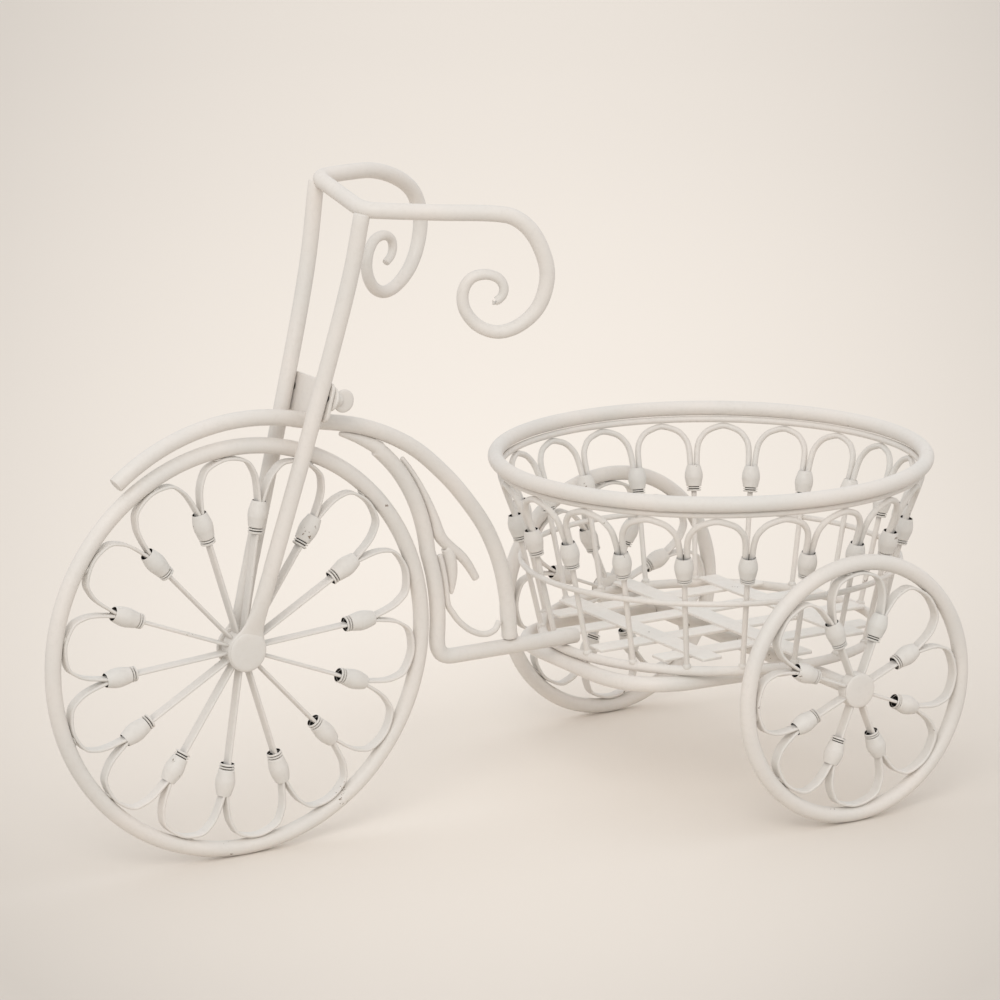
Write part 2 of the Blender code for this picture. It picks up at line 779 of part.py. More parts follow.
def lower_scroll_path():
    """Thin rod down the stay's back that curls forward to the down tube's foot."""
    steps = 3
    points = []
    for i in range(steps + 1):
        angle = LOWER_SCROLL_START + (LOWER_SCROLL_LEAVES - LOWER_SCROLL_START) * i / steps
        points.append(beside_stay(angle, THIN_SCROLL_R))
    start = points[-1]
    reach = DOWN_TUBE_X - TUBE_R - THIN_SCROLL_R - SCROLL_TIP_GAP - start.x
    drop = start.z - stay_floor() - LOWER_SCROLL_LIFT
    for right, down in LOWER_SCROLL_SHARES:
        points.append(start + Vector((reach * right, 0, -drop * down)))
    return smooth_path(points, 2)


def build_frame():
    path = upper_tube_path()
    radii = [TUBE_R] * len(path)
    add_object("frame_tube_upper", rod("frame_tube_upper", path, radii, TUBE_DETAIL), WHITE)
    path = stay_path()
    tip, radii = stay_tip()
    radii += [TUBE_R] * len(path)
    add_object("frame_tube_lower", rod("frame_tube_lower", tip + path, radii, TUBE_DETAIL), WHITE)
    scroll = rod("frame_scroll_upper", *upper_scroll_path(), TUBE_DETAIL)
    upper = add_object("frame_scroll_upper", scroll, WHITE)
    combine(upper, rod("frame_leaf", *leaf_path(), TUBE_DETAIL), "UNION")
    path = lower_scroll_path()
    radii = [THIN_SCROLL_R] * len(path)
    add_object("frame_scroll_lower", rod("frame_scroll_lower", path, radii, WIRE_DETAIL), WHITE)


def build_crown():
    """Plate behind the legs with a saddle over the frame tube, two studs, two thumb nuts."""
    back = fork_back()
    up = Vector((-back.z, 0, back.x))
    middle = (fork_line(-1)[1] + fork_line(1)[1]) / 2
    half_width = fork_line(1)[1].y + CROWN_MARGIN
    plate_front = TUBE_R + GAP
    plate_back = plate_front + CROWN_THICK

    def block(name, low, high):
        rings = []
        for along in (low.z, high.z):
            ring = []
            for depth, across in ((low.x, low.y), (high.x, low.y), (high.x, high.y), (low.x, high.y)):
                ring.append(middle + back * depth + Vector((0, across, 0)) + up * along)
            rings.append(ring)
        return loft(name, rings)

    plate = block("crown_bracket",
                  Vector((plate_front, -half_width, -CROWN_BELOW)),
                  Vector((plate_back, half_width, CROWN_ABOVE)))
    crown = add_object("crown_bracket", plate, WHITE)
    saddle = block("crown_saddle",
                   Vector((plate_back - WELD_DEPTH, -SADDLE_HALF_WIDTH, -SADDLE_BOTTOM)),
                   Vector((plate_back + SADDLE_DEPTH, SADDLE_HALF_WIDTH, -SADDLE_TOP)))
    combine(crown, saddle, "UNION")
    path = upper_tube_path()
    cuts = [rod("crown_notch", path, [TUBE_R + GAP] * len(path), TUBE_DETAIL)]
    for side in (-1, 1):
        hole_radius = STUD_RADIUS + GAP
        reach = plate_back + OVERRUN
        cuts.append(turned("crown_hole", ((0, hole_radius), (reach, hole_radius)),
                           ROUND_STEPS // 2, fork_line(side)[1], back))
    combine(crown, joined("crown_cuts", cuts), "DIFFERENCE")

    for side, end in ((-1, "left"), (1, "right")):
        place = fork_line(side)[1]
        nut_start = plate_back + GAP
        tip = nut_start + STUD_TIP
        name = "clamp_stud_" + end
        profile = ((-STUD_DEPTH, STUD_RADIUS), (tip, STUD_RADIUS))
        add_object(name, turned(name, profile, ROUND_STEPS // 2, place, back), WHITE)
        build_thumb_nut("thumb_nut_" + end, place, back, up, nut_start, tip)


def build_thumb_nut(name, place, back, up, start, stud_tip):
    """Flange, neck and flat oval paddle, with a blind bore over the stud's end."""
    flange_end = NUT_FLANGE_THICK
    neck_end = flange_end + NUT_NECK_LENGTH
    profile = (
        (0, NUT_FLANGE_RADIUS),
        (flange_end * 0.6, NUT_FLANGE_RADIUS),
        (flange_end, NUT_FLANGE_RADIUS * 0.85),
        (flange_end, NUT_NECK_RADIUS),
        (neck_end, NUT_NECK_RADIUS),
    )
    pivot = place + back * start
    nut = add_object(name, turned(name, profile, ROUND_STEPS, Vector(), back), WHITE)
    nut.location = pivot
    side = up.cross(back)
    centre = flange_end + NUT_NECK_LENGTH / 2 + PADDLE_LENGTH / 2
    rings = []
    for across in (-PADDLE_THICK / 2, PADDLE_THICK / 2):
        ring = []
        for i in range(ROUND_STEPS):
            turn = math.tau * i / ROUND_STEPS
            ring.append(pivot + back * (centre + PADDLE_LENGTH / 2 * math.cos(turn))
                        + up * (PADDLE_HALF_HEIGHT * math.sin(turn)) + side * across)
        rings.append(ring)
    combine(nut, loft(name + "_paddle", rings), "UNION")
    bore_radius = STUD_RADIUS + GAP
    bore_depth = stud_tip - start + GAP
    bore = turned(name + "_bore", ((-OVERRUN, bore_radius), (bore_depth, bore_radius)),
                  ROUND_STEPS // 2, pivot, back)
    combine(nut, bore, "DIFFERENCE")


def add_axle(name, half_profile, seat, thick, radius, place):
    """Bar across the wheels with a domed head at each end, the same on both sides."""
    half = [*half_profile, (seat, AXLE_RADIUS)]
    half += [(seat + thick * along, radius * wide) for along, wide in DOME_SHARES]
    profile = [(-along, wide) for along, wide in half[::-1]] + half
    add_object(name, turned(name, profile, ROUND_STEPS, place), WHITE)


def build_axles():
    seat = HUB_HALF + GAP + FORK_EYE_THICK + GAP
    add_axle("front_axle", [], seat, AXLE_HEAD_THICK, AXLE_HEAD_RADIUS, FRONT_AXLE)
    shoulder = TRACK / 2 - REAR_HUB_HALF - GAP
    seat = TRACK / 2 + REAR_HUB_HALF + GAP
    add_axle("rear_axle", [(shoulder, TUBE_R), (shoulder, AXLE_RADIUS)], seat, AXLE_CAP_THICK,
             REAR_HUB_RADIUS, REAR_AXLE)


def bay_angle(number):
    """Angle of a rib, which is a little off an even spacing."""
    even = BASKET_PHASE + BASKET_PITCH * number
    return even + BAY_SHIFT + BAY_SWING * math.cos(even - BAY_SWING_AT)


def around(radius, angle, height):
    return BASKET_AXIS + Vector((radius * math.cos(angle), radius * math.sin(angle), height))


def build_basket():
    lift = Vector((0, 0, 1))
    steps = BASKET_BAYS * 2

    pivot = BASKET_AXIS + lift * BASKET_RIM_HEIGHT
    rim = add_object("basket_rim", torus("basket_rim", BASKET_RIM_RADIUS, TUBE_R, steps, 8, 0,
                                         False), WHITE)
    rim.location = pivot

    reach = TUBE_R + RING_R + GAP
    ring_height = BASKET_RIM_HEIGHT - math.sqrt(reach ** 2 - RING_INSET ** 2)
    ring_radius = BASKET_RIM_RADIUS - RING_INSET
    ring = add_object("basket_upper_ring", torus("basket_upper_ring", ring_radius, RING_R, steps, 6,
                                                 BASKET_PHASE, False), WHITE)
    ring.location = BASKET_AXIS + lift * ring_height

    slope = (BASKET_CLIP_RADIUS - FOOT_RING_RADIUS) / (BASKET_CLIP_HEIGHT - FOOT_RING_HEIGHT)

    def wall_radius(height):
        return FOOT_RING_RADIUS + slope * (height - FOOT_RING_HEIGHT)

    clip_low = BASKET_CLIP_HEIGHT - CLIP_LENGTH / 2
    clip_high = BASKET_CLIP_HEIGHT + CLIP_LENGTH / 2

    arch_low = clip_high + GAP + WIRE_R
    arch_top = ring_height - RING_R - GAP - WIRE_R
    low_radius = wall_radius(arch_low)
    top_radius = ring_radius
    root = (WIRE_R + GAP) / low_radius
    arch = []
    for i in range(BASKET_BAYS):
        clip = bay_angle(i)
        half = (bay_angle(i + 1) - clip) / 2
        shares = ((root / half, ARCH_ROOT_SHARE), *ARCH_SHARES)
        arch.append((clip, 0))
        for across, up in shares:
            arch.append((clip + half * across, up))
        for across, up in shares[-2::-1]:
            arch.append((clip + half * (2 - across), up))
    points = []
    for angle, up in arch:
        radius = low_radius + (top_radius - low_radius) * up
        points.append(around(radius, angle, arch_low + (arch_top - arch_low) * up))
    mesh = rod("basket_arches", points, [WIRE_R] * len(points), WIRE_DETAIL, closed=True)
    add_object("basket_arches", mesh, WHITE)

    foot = torus("basket_cage", FOOT_RING_RADIUS, FOOT_RING_R, steps, 6, BASKET_PHASE, False)
    cage = add_object("basket_cage", foot, WHITE)
    cage.location = BASKET_AXIS + lift * FOOT_RING_HEIGHT
    ribs = []
    for i in range(BASKET_BAYS):
        angle = bay_angle(i)
        heights = [FOOT_RING_HEIGHT, clip_low]
        radii = [WIRE_R, WIRE_R]
        for along, wide in BARREL_SHARES:
            heights.append(clip_low + CLIP_LENGTH * along + GAP * 0.1)
            radii.append(CLIP_RADIUS * wide)
        points = [around(wall_radius(height), angle, height) for height in heights]
        ribs.append(rod("basket_rib", points, radii, WIRE_DETAIL))
    combine(cage, joined("basket_ribs", ribs), "UNION")
    hoop_radius = wall_radius(HOOP_HEIGHT) + WIRE_R + HOOP_R - WELD_DEPTH
    hoop = torus("basket_hoop", hoop_radius, HOOP_R, steps, 5, BASKET_PHASE, False)
    for vertex in hoop.vertices:
        vertex.co += BASKET_AXIS + lift * HOOP_HEIGHT
    combine(cage, hoop, "UNION")

    low = FOOT_RING_HEIGHT + FOOT_RING_R + GAP
    high = low + SLAT_THICK
    cross_low = high - SLAT_LAP
    cross_high = cross_low + SLAT_THICK

    end_radius = FOOT_RING_RADIUS - WIRE_R - SLAT_END_GAP

    def slat_end(at):
        return math.sqrt(end_radius ** 2 - (abs(at) + SLAT_WIDTH / 2) ** 2)

    slats = []
    for share in SLAT_SHARES:
        at = FOOT_RING_RADIUS * share
        reach = slat_end(at)
        corner = Vector((reach, SLAT_WIDTH / 2, 0))
        centre = BASKET_AXIS + Vector((0, at, 0))
        slats.append(box("basket_slat", centre - corner + lift * low, centre + corner + lift * high))
    crosses = []
    for share in CROSS_SLAT_SHARES:
        at = FOOT_RING_RADIUS * share
        reach = slat_end(at)
        corner = Vector((SLAT_WIDTH / 2, reach, 0))
        centre = BASKET_AXIS + Vector((at, 0, 0))
        crosses.append(box("basket_cross", centre - corner + lift * cross_low,
                           centre + corner + lift * cross_high))
    floor = add_object("basket_floor", slats[0], WHITE)
    combine(floor, joined("basket_crosses", crosses), "UNION")
    combine(floor, joined("basket_slats", slats[1:]), "UNION")


def build_cradle():
    """U-shaped rail: under the foot ring at the front, against the rear axle behind."""
    front_level = FOOT_RING_HEIGHT - FOOT_RING_R - GAP - TUBE_R
    end_x = REAR_AXLE.x - TUBE_R - GAP
    front_x = BASKET_AXIS.x - FOOT_RING_RADIUS
    half = FOOT_RING_RADIUS * RAIL_SHARE
    slope_x = BASKET_AXIS.x - math.sqrt(FOOT_RING_RADIUS ** 2 - half ** 2) + TUBE_R * 2
    bend = FOOT_RING_RADIUS * RAIL_BEND_SHARE
    side_points = [
        Vector((end_x, half, REAR_AXLE.z)),
        Vector((slope_x, half, front_level)),
    ]
    corner = Vector((front_x, half, front_level))
    for i in range(6):
        t = i / 5
        a = Vector((front_x + bend, half, front_level))
        b = Vector((front_x, half - bend, front_level))
        side_points.append(a * (1 - t) ** 2 + corner * 2 * t * (1 - t) + b * t ** 2)
    if side_points[1].x <= side_points[2].x:
        side_points.pop(1)
    mirrored = [Vector((point.x, -point.y, point.z)) for point in side_points[::-1]]
    path = side_points + mirrored
    add_object("basket_cradle", rod("basket_cradle", path, [TUBE_R] * len(path), TUBE_DETAIL), WHITE)


def main():
    clear_scene()
    build_wheel(True, ("front_rim", "front_petal_band", "front_hub", "front_spoke",
                       "front_wheel_axis"), FRONT_AXLE)
    for side, end in ((-1, "left"), (1, "right")):
        names = ("rear_rim_" + end, "rear_petal_band_" + end, "rear_hub_" + end,
                 "rear_spoke_" + end, "rear_wheel_axis_" + end)
        build_wheel(False, names, REAR_AXLE + Vector((0, side * TRACK / 2, 0)))
    build_axles()
    build_fork()
    build_handlebar()
    build_frame()
    build_crown()
    build_basket()
    build_cradle()


main()
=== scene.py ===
"""Looks of the tricycle planter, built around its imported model.

Metres, +Z up. The front wheel is at -X, the basket and the two rear wheels are at +X.
Every bar, strip, clip and slat is modelled again at its real roundness, and painted.
"""

import math

import bpy
from mathutils import Matrix, Vector


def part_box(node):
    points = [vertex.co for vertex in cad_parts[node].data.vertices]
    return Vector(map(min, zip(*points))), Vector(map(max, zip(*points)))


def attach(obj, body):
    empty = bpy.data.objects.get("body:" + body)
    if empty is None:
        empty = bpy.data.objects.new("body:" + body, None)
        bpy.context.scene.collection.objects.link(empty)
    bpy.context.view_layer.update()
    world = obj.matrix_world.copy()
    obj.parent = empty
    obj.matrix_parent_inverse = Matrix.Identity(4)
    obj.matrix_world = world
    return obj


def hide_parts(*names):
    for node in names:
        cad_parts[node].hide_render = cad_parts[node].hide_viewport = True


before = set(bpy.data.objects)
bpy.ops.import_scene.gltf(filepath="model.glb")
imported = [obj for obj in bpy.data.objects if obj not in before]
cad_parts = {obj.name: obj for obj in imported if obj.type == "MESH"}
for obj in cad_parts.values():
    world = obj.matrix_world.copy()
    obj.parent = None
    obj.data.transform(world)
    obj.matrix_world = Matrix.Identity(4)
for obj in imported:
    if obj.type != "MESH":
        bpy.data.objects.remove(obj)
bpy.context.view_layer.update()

MM = 0.001


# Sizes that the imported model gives
def middle(node):
    low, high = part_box(node)
    return (low + high) / 2


def reach(node, axis):
    low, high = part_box(node)
    return (high[axis] - low[axis]) / 2


FRONT_AXLE = middle("front_rim")
REAR_AXLE = middle("rear_axle")
BASKET_AXIS = Vector((middle("basket_rim").x, 0, 0))
TUBE_R = reach("frame_tube_upper", 1)
FRONT_RADIUS = reach("front_rim", 0)
REAR_RADIUS = reach("rear_rim_left", 0)
TRACK = middle("rear_rim_right").y - middle("rear_rim_left").y
HUB_HALF = reach("front_hub", 1)
REAR_HUB_HALF = reach("rear_hub_left", 1)
FRONT_HUB_RADIUS = reach("front_hub", 0)
REAR_HUB_RADIUS = reach("rear_hub_left", 0)
RIM_HEIGHT = middle("basket_rim").z
RIM_RADIUS = reach("basket_rim", 0) - TUBE_R

# Sizes that repeat the model's own
GAP = 0.3 * MM
WIRE_R = 1.6 * MM
RING_R = 1.75 * MM
STRIP_WIDTH = 6.4 * MM
STRIP_THICK = 1.6 * MM
FRONT_LOBES = 14
REAR_LOBES = 8
FRONT_LOBE_DEPTH = 38.2 * MM
REAR_LOBE_DEPTH = 36.5 * MM
FRONT_PHASE = math.radians(3.9)
REAR_PHASE = math.radians(22.5)
CLIP_LENGTH = 14.0 * MM
FRONT_CLIP_LENGTH = 16.2 * MM
AXLE_R = 3.0 * MM
FORK_TOP = 321.0 * MM
FORK_TRAIL = 58.0 * MM
FORK_BOW = 2.9 * MM
FORK_SHOULDER = 0.607
FORK_TOP_HALF = 24.2 * MM
EYE_R = 10.3 * MM
EYE_THICK = 2.4 * MM
LEG_FOOT_R = 2.6 * MM
LEG_FOOT_RISE = 26 * MM
LEG_FULL_RISE = 42 * MM
BAR_HEIGHT = 324.2 * MM
BAR_ROLL = math.radians(10.8)
NEAR_PITCH = math.radians(2.6)
FAR_PITCH = math.radians(-9.2)
GRIP_SPLAY = math.radians(22.6)
GRIP_REACH = 87.7 * MM
GRIP_DROP = 59.7 * MM
GRIP_END_R = 2.1 * MM
CORNER_R = 8.0 * MM
CROWN_RISE = 13.3 * MM
FENDER_END_GAP = 2.2 * MM
FENDER_TOP_GAP = 6.6 * MM
FENDER_START = math.radians(126.0)
FENDER_CROWN = math.radians(72.0)
STAY_GAP = 1.6 * MM
STAY_TOP_GAP = 10.0 * MM
STAY_BEND = 9.0 * MM
STAY_TIP = math.radians(61.5)
STAY_TOP = math.radians(49.0)
STAY_SWELL = math.radians(18.0)
STAY_DROP = 11.5 * MM
DOWN_TUBE_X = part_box("frame_tube_upper")[1].x - TUBE_R
SCROLL_R = 2.0 * MM
SCROLL_THICK_R = 3.2 * MM
THIN_SCROLL_R = 1.6 * MM
FORGED_TIP_R = 1.2 * MM
UPPER_SCROLL_START = math.radians(43.0)
UPPER_SCROLL_LEAVES = math.radians(22.0)
UPPER_SCROLL_REACH = 0.53
UPPER_SCROLL_DROP = 0.476
LEAF_TOP = math.radians(18.5)
LEAF_END = math.radians(5.1)
LOWER_SCROLL_START = math.radians(16.0)
LOWER_SCROLL_LEAVES = math.radians(7.0)
LOWER_SCROLL_LIFT = 8.4 * MM
LOWER_SCROLL_TIP_GAP = 0.3 * MM
BAYS = 20
BASKET_FLARE = 23.5 * MM
FOOT_RING_R = 2.5 * MM
FOOT_RING_RADIUS = RIM_RADIUS - BASKET_FLARE
FOOT_RING_HEIGHT = REAR_RADIUS + TUBE_R + 1.5 * MM + FOOT_RING_R
BASKET_HEIGHT = RIM_HEIGHT - FOOT_RING_HEIGHT
CLIP_HEIGHT = FOOT_RING_HEIGHT + BASKET_HEIGHT * 0.607
CLIP_RING = FOOT_RING_RADIUS + BASKET_FLARE * 0.532
HOOP_HEIGHT = FOOT_RING_HEIGHT + BASKET_HEIGHT * 0.410
HOOP_R = 1.5 * MM
RIB_R = 1.4 * MM
PITCH = math.tau / BAYS
PHASE = math.pi - math.asin((TUBE_R + WIRE_R + 0.5 * MM) / FOOT_RING_RADIUS)
SLAT_WIDTH = 12.0 * MM
SLAT_THICK = 1.6 * MM
SLAT_LAP = 0.4 * MM
SLAT_SHARES = (-0.571, -0.206, 0.206, 0.571)
CROSS_SLAT_SHARES = (-0.503, 0.0, 0.503)
BAY_SHIFT = math.radians(-3.6)
BAY_SWING = math.radians(2.9)
BAY_SWING_AT = math.radians(256.0)

# Outline of half a lobe and half an arch: share of the half pitch, share of the height
LOBE = ((0.17, 0.42), (0.30, 0.68), (0.52, 0.90), (1.0, 1.0))
ARCH = ((0.13, 0.34), (0.18, 0.55), (0.28, 0.70), (0.44, 0.84), (0.66, 0.93), (1.0, 1.0))


# Handling of pieces
def let_go():
    """Leave edit mode, and hold nothing."""
    if bpy.context.mode != "OBJECT":
        bpy.ops.object.mode_set(mode="OBJECT")
    bpy.ops.object.select_all(action="DESELECT")


def take(piece):
    let_go()
    piece.select_set(True)
    bpy.context.view_layer.objects.active = piece
    return piece


def made(name):
    piece = bpy.context.object
    piece.name = name
    piece.data.name = name
    return piece


def clean(piece, angle=40):
    """Merge doubles, turn the faces outwards and round the shading."""
    take(piece)
    bpy.ops.object.mode_set(mode="EDIT")
    bpy.ops.mesh.select_all(action="SELECT")
    bpy.ops.mesh.remove_doubles(threshold=GAP * 0.02)
    bpy.ops.mesh.normals_make_consistent(inside=False)
    bpy.ops.object.mode_set(mode="OBJECT")
    bpy.ops.object.shade_smooth_by_angle(angle=math.radians(angle))
    return piece


def settle(piece, matrix):
    """Place a piece, with its place in its mesh."""
    take(piece)
    piece.matrix_world = matrix
    bpy.ops.object.transform_apply(location=True, rotation=True, scale=True)
    return piece


def copied(piece, name, matrix):
    take(piece)
    bpy.ops.object.duplicate()
    twin = made(name)
    return settle(twin, matrix)


def joined(name, pieces):
    let_go()
    for piece in pieces:
        piece.select_set(True)
    bpy.context.view_layer.objects.active = pieces[0]
    bpy.ops.object.join()
    return made(name)


def modified(piece, kind, **values):
    take(piece)
    change = piece.modifiers.new(kind.title(), kind)
    for key, value in values.items():
        setattr(change, key, value)
    bpy.ops.object.modifier_apply(modifier=change.name)
    return piece


def about_y(angle, place=Vector()):
    """Turn in the wheel's plane, counted as the lobes are, then move."""
    return Matrix.Translation(place) @ Matrix.Rotation(-angle, 4, "Y")


def facing(place, along, up):
    """Matrix that lays local X along one direction and local Z near another."""
    x = along.normalized()
    y = up.cross(x).normalized()
    z = x.cross(y)
    turn = Matrix((x, y, z)).transposed().to_4x4()
    return Matrix.Translation(place) @ turn


# Bars, strips and turned pieces
def line(name, points, closed=False):
    let_go()
    bpy.ops.curve.primitive_bezier_curve_add()
    piece = made(name)
    piece.data.splines.clear()
    spline = piece.data.splines.new("POLY")
    spline.points.add(len(points) - 1)
    for knot, point in zip(spline.points, points):
        knot.co = (*point, 1)
    spline.use_cyclic_u = closed
    piece.data.use_fill_caps = not closed
    return piece


def bar(name, points, radius, sides=20, closed=False):
    """Round bar along the points. radius is one number, or one for each point."""
    radii = radius if isinstance(radius, list) else [radius] * len(points)
    piece = line(name, points, closed)
    piece.data.bevel_depth = 1
    piece.data.bevel_resolution = sides // 2 - 2
    for knot, size in zip(piece.data.splines[0].points, radii):
        knot.radius = size
    take(piece)
    bpy.ops.object.convert(target="MESH")
    return clean(made(name))


def strip(name, points, width, thick, closed=False):
    """Flat strip with rounded edges, on edge along points (x, z) in the XZ plane."""
    piece = line(name, [(x, z, 0) for x, z in points], closed)
    piece.data.twist_mode = "Z_UP"
    piece.data.bevel_depth = thick / 2
    piece.data.extrude = width / 2 - thick / 2
    piece.data.bevel_resolution = 2
    take(piece)
    bpy.ops.object.convert(target="MESH")
    settle(made(name), Matrix.Rotation(math.radians(90), 4, "X"))
    return clean(made(name), 50)


def lathe(name, outline, steps=32, closed=True):
    """Spin an outline of (along X, radius) about the X axis."""
    let_go()
    bpy.ops.mesh.primitive_circle_add(vertices=len(outline))
    piece = made(name)
    for vertex, (along, radius) in zip(piece.data.vertices, outline):
        vertex.co = (along, 0, radius)
    take(piece)
    bpy.ops.object.mode_set(mode="EDIT")
    bpy.ops.mesh.select_mode(type="EDGE")
    if not closed:
        bpy.ops.mesh.select_all(action="DESELECT")
        bpy.ops.object.mode_set(mode="OBJECT")
        last = {0, len(outline) - 1}
        for edge in piece.data.edges:
            edge.select = set(edge.vertices) == last
        bpy.ops.object.mode_set(mode="EDIT")
        bpy.ops.mesh.delete(type="EDGE")
    bpy.ops.mesh.select_all(action="SELECT")
    bpy.ops.mesh.spin(steps=steps, angle=math.tau, center=(0, 0, 0), axis=(1, 0, 0))
    bpy.ops.object.mode_set(mode="OBJECT")
    return clean(piece)


def round_path(points, steps, closed=False):
    """Points along a smooth curve through the given points, which stay on it."""
    count = len(points)
    path = []
    for i in range(count if closed else count - 1):
        if closed:
            a, b, c, d = (points[(i + k - 1) % count] for k in range(4))
        else:
            b, c = points[i], points[i + 1]
            a = points[i - 1] if i else b * 2 - c
            d = points[i + 2] if i + 2 < count else c * 2 - b
        for k in range(steps):
            t = k / steps
            path.append(0.5 * (2 * b + (c - a) * t + (2 * a - 5 * b + 4 * c - d) * t ** 2
                               + (3 * b - a - 3 * c + d) * t ** 3))
    if not closed:
        path.append(points[-1].copy())
    return path


def elbow(corner, start, end, steps):
    """Bend from one point to another round a corner."""
    bend = []
    for i in range(steps + 1):
        t = i / steps
        bend.append(start * (1 - t) ** 2 + corner * 2 * t * (1 - t) + end * t ** 2)
    return bend


def blunt(points, radii, edge=0.7 * MM):
    """Round the cut edge at both ends of a bar."""
    head = (points[1] - points[0]).normalized()
    tail = (points[-2] - points[-1]).normalized()
    path = [points[0], points[0] + head * edge * 0.3, points[0] + head * edge] + points[1:-1]
    path += [points[-1] + tail * edge, points[-1] + tail * edge * 0.3, points[-1]]
    a, b = radii[0], radii[-1]
    sizes = [a - edge, a - edge * 0.3, a] + radii[1:-1] + [b, b - edge * 0.3, b - edge]
    return path, sizes


def cut_bar(name, points, radii, sides=20):
    radii = radii if isinstance(radii, list) else [radii] * len(points)
    path, sizes = blunt(points, radii)
    return bar(name, path, sizes, sides)


def polar(centre, radius, angle):
    return centre + Vector((radius * math.cos(angle), 0, radius * math.sin(angle)))


# Paint, and near-black steel: the studs' own colour, and painted shade in the bores and grooves of clips and
# nuts
def shader_of(material):
    material.use_nodes = True
    return material.node_tree.nodes["Principled BSDF"]


def noise(tree, scale, detail, rough=0.5):
    item = tree.nodes.new("ShaderNodeTexNoise")
    item.inputs["Scale"].default_value = scale
    item.inputs["Detail"].default_value = detail
    item.inputs["Roughness"].default_value = rough
    place = tree.nodes.get("Place") or tree.nodes.new("ShaderNodeTexCoord")
    place.name = "Place"
    tree.links.new(place.outputs["Object"], item.inputs["Vector"])
    return item.outputs["Fac"]


def spread(tree, source, low, high, to_low=0.0, to_high=1.0):
    item = tree.nodes.new("ShaderNodeMapRange")
    for key, value in (("From Min", low), ("From Max", high), ("To Min", to_low), ("To Max", to_high)):
        item.inputs[key].default_value = value
    tree.links.new(source, item.inputs["Value"])
    return item.outputs["Result"]


def mixed(tree, share, first, second):
    item = tree.nodes.new("ShaderNodeMix")
    item.data_type = "RGBA"
    for key, value in ((0, share), (6, first), (7, second)):
        if isinstance(value, bpy.types.NodeSocket):
            tree.links.new(value, item.inputs[key])
        else:
            item.inputs[key].default_value = value
    return item.outputs[2]


def worked(tree, operation, *terms):
    """Math node on sockets or numbers."""
    item = tree.nodes.new("ShaderNodeMath")
    item.operation = operation
    for socket, term in zip(item.inputs, terms):
        if isinstance(term, bpy.types.NodeSocket):
            tree.links.new(term, socket)
        else:
            socket.default_value = term
    return item.outputs["Value"]


def bumped(tree, shader, layers):
    """Lay bumps over each other: (height, strength, distance)."""
    last = None
    for height, strength, distance in layers:
        item = tree.nodes.new("ShaderNodeBump")
        item.inputs["Strength"].default_value = strength
        item.inputs["Distance"].default_value = distance
        tree.links.new(height, item.inputs["Height"])
        if last:
            tree.links.new(last, item.inputs["Normal"])
        last = item.outputs["Normal"]
    tree.links.new(last, shader.inputs["Normal"])


def satin_paint(name, tint, grain, chips):
    """Off-white satin paint: uneven tone, brushed-on texture, fine grain and a few chips."""
    material = bpy.data.materials.new(name)
    shader = shader_of(material)
    tree = material.node_tree
    warm = (tint[0], tint[1], tint[2], 1)
    cool = (tint[0] * 0.93, tint[1] * 0.955, tint[2] * 0.965, 1)
    dull = (tint[0] * 0.86, tint[1] * 0.86, tint[2] * 0.85, 1)
    patches = spread(tree, noise(tree, 24, 3), 0.35, 0.68)
    colour = mixed(tree, patches, warm, cool)
    mottle = spread(tree, noise(tree, 420, 4, 0.6), 0.5, 0.85, 0.0, 0.5)
    colour = mixed(tree, mottle, colour, dull)
    where = spread(tree, noise(tree, 62, 2), 0.70 - chips, 0.72 - chips)
    spots = spread(tree, noise(tree, 480, 3, 0.7), 0.60, 0.63)
    colour = mixed(tree, worked(tree, "MULTIPLY", where, spots), colour, (0.20, 0.15, 0.11, 1))
    tree.links.new(colour, shader.inputs["Base Color"])
    rough = spread(tree, noise(tree, 160, 3), 0.3, 0.7, 0.40, 0.62)
    tree.links.new(rough, shader.inputs["Roughness"])
    shader.inputs["Specular IOR Level"].default_value = 0.42
    bumped(tree, shader, [
        (noise(tree, 130, 2), 0.35, 0.5 * MM),
        (noise(tree, 900, 3, 0.6), grain, 0.12 * MM),
    ])
    return material


def steel_and_painted_shade(name):
    """Near-black steel with a little rust: painted shade inside the clips' and nuts' bores and grooves, and
    the studs' own bare steel.
    """
    material = bpy.data.materials.new(name)
    shader = shader_of(material)
    tree = material.node_tree
    rust = spread(tree, noise(tree, 900, 3), 0.5, 0.72)
    # Near-black to dark brown: painted shade, mottled with rust
    colour = mixed(tree, rust, (0.012, 0.011, 0.010, 1), (0.05, 0.030, 0.018, 1))
    tree.links.new(colour, shader.inputs["Base Color"])
    shader.inputs["Metallic"].default_value = 0.35
    rough = spread(tree, noise(tree, 500, 2), 0.3, 0.7, 0.6, 0.85)
    tree.links.new(rough, shader.inputs["Roughness"])
    return material


OFF_WHITE = (0.735, 0.685, 0.635)
BAR_PAINT = satin_paint("bar_paint", OFF_WHITE, 0.30, 0.0)
STRIP_PAINT = satin_paint("strip_paint", (0.725, 0.68, 0.632), 0.30, 0.01)
CLIP_PAINT = satin_paint("clip_paint", (0.715, 0.675, 0.63), 0.45, 0.03)
# The same white paint made lighter on the slats: painted light, to offset the shade inside the basket
SLAT_PAINT_WITH_PAINTED_LIGHT = satin_paint("slat_paint_with_painted_light", (0.80, 0.75, 0.695), 0.35, 0.0)
WELD_PAINT = satin_paint("weld_paint", (0.725, 0.68, 0.63), 0.8, 0.02)
# Near-black material that paints the shade in bores and grooves, and the studs' own dark steel
STEEL_AND_PAINTED_SHADE = steel_and_painted_shade("dark_steel_and_painted_shade")


def dress(piece, body, paint, *nodes):
    """Paint a finished piece, let it ride, and hide what it stands for."""
    if not piece.data.materials:
        piece.data.materials.append(paint)
    for i, old in enumerate(piece.data.materials):
        if old is None:
            piece.data.materials[i] = paint
    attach(piece, body)
    if nodes:
        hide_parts(*nodes)
    return piece


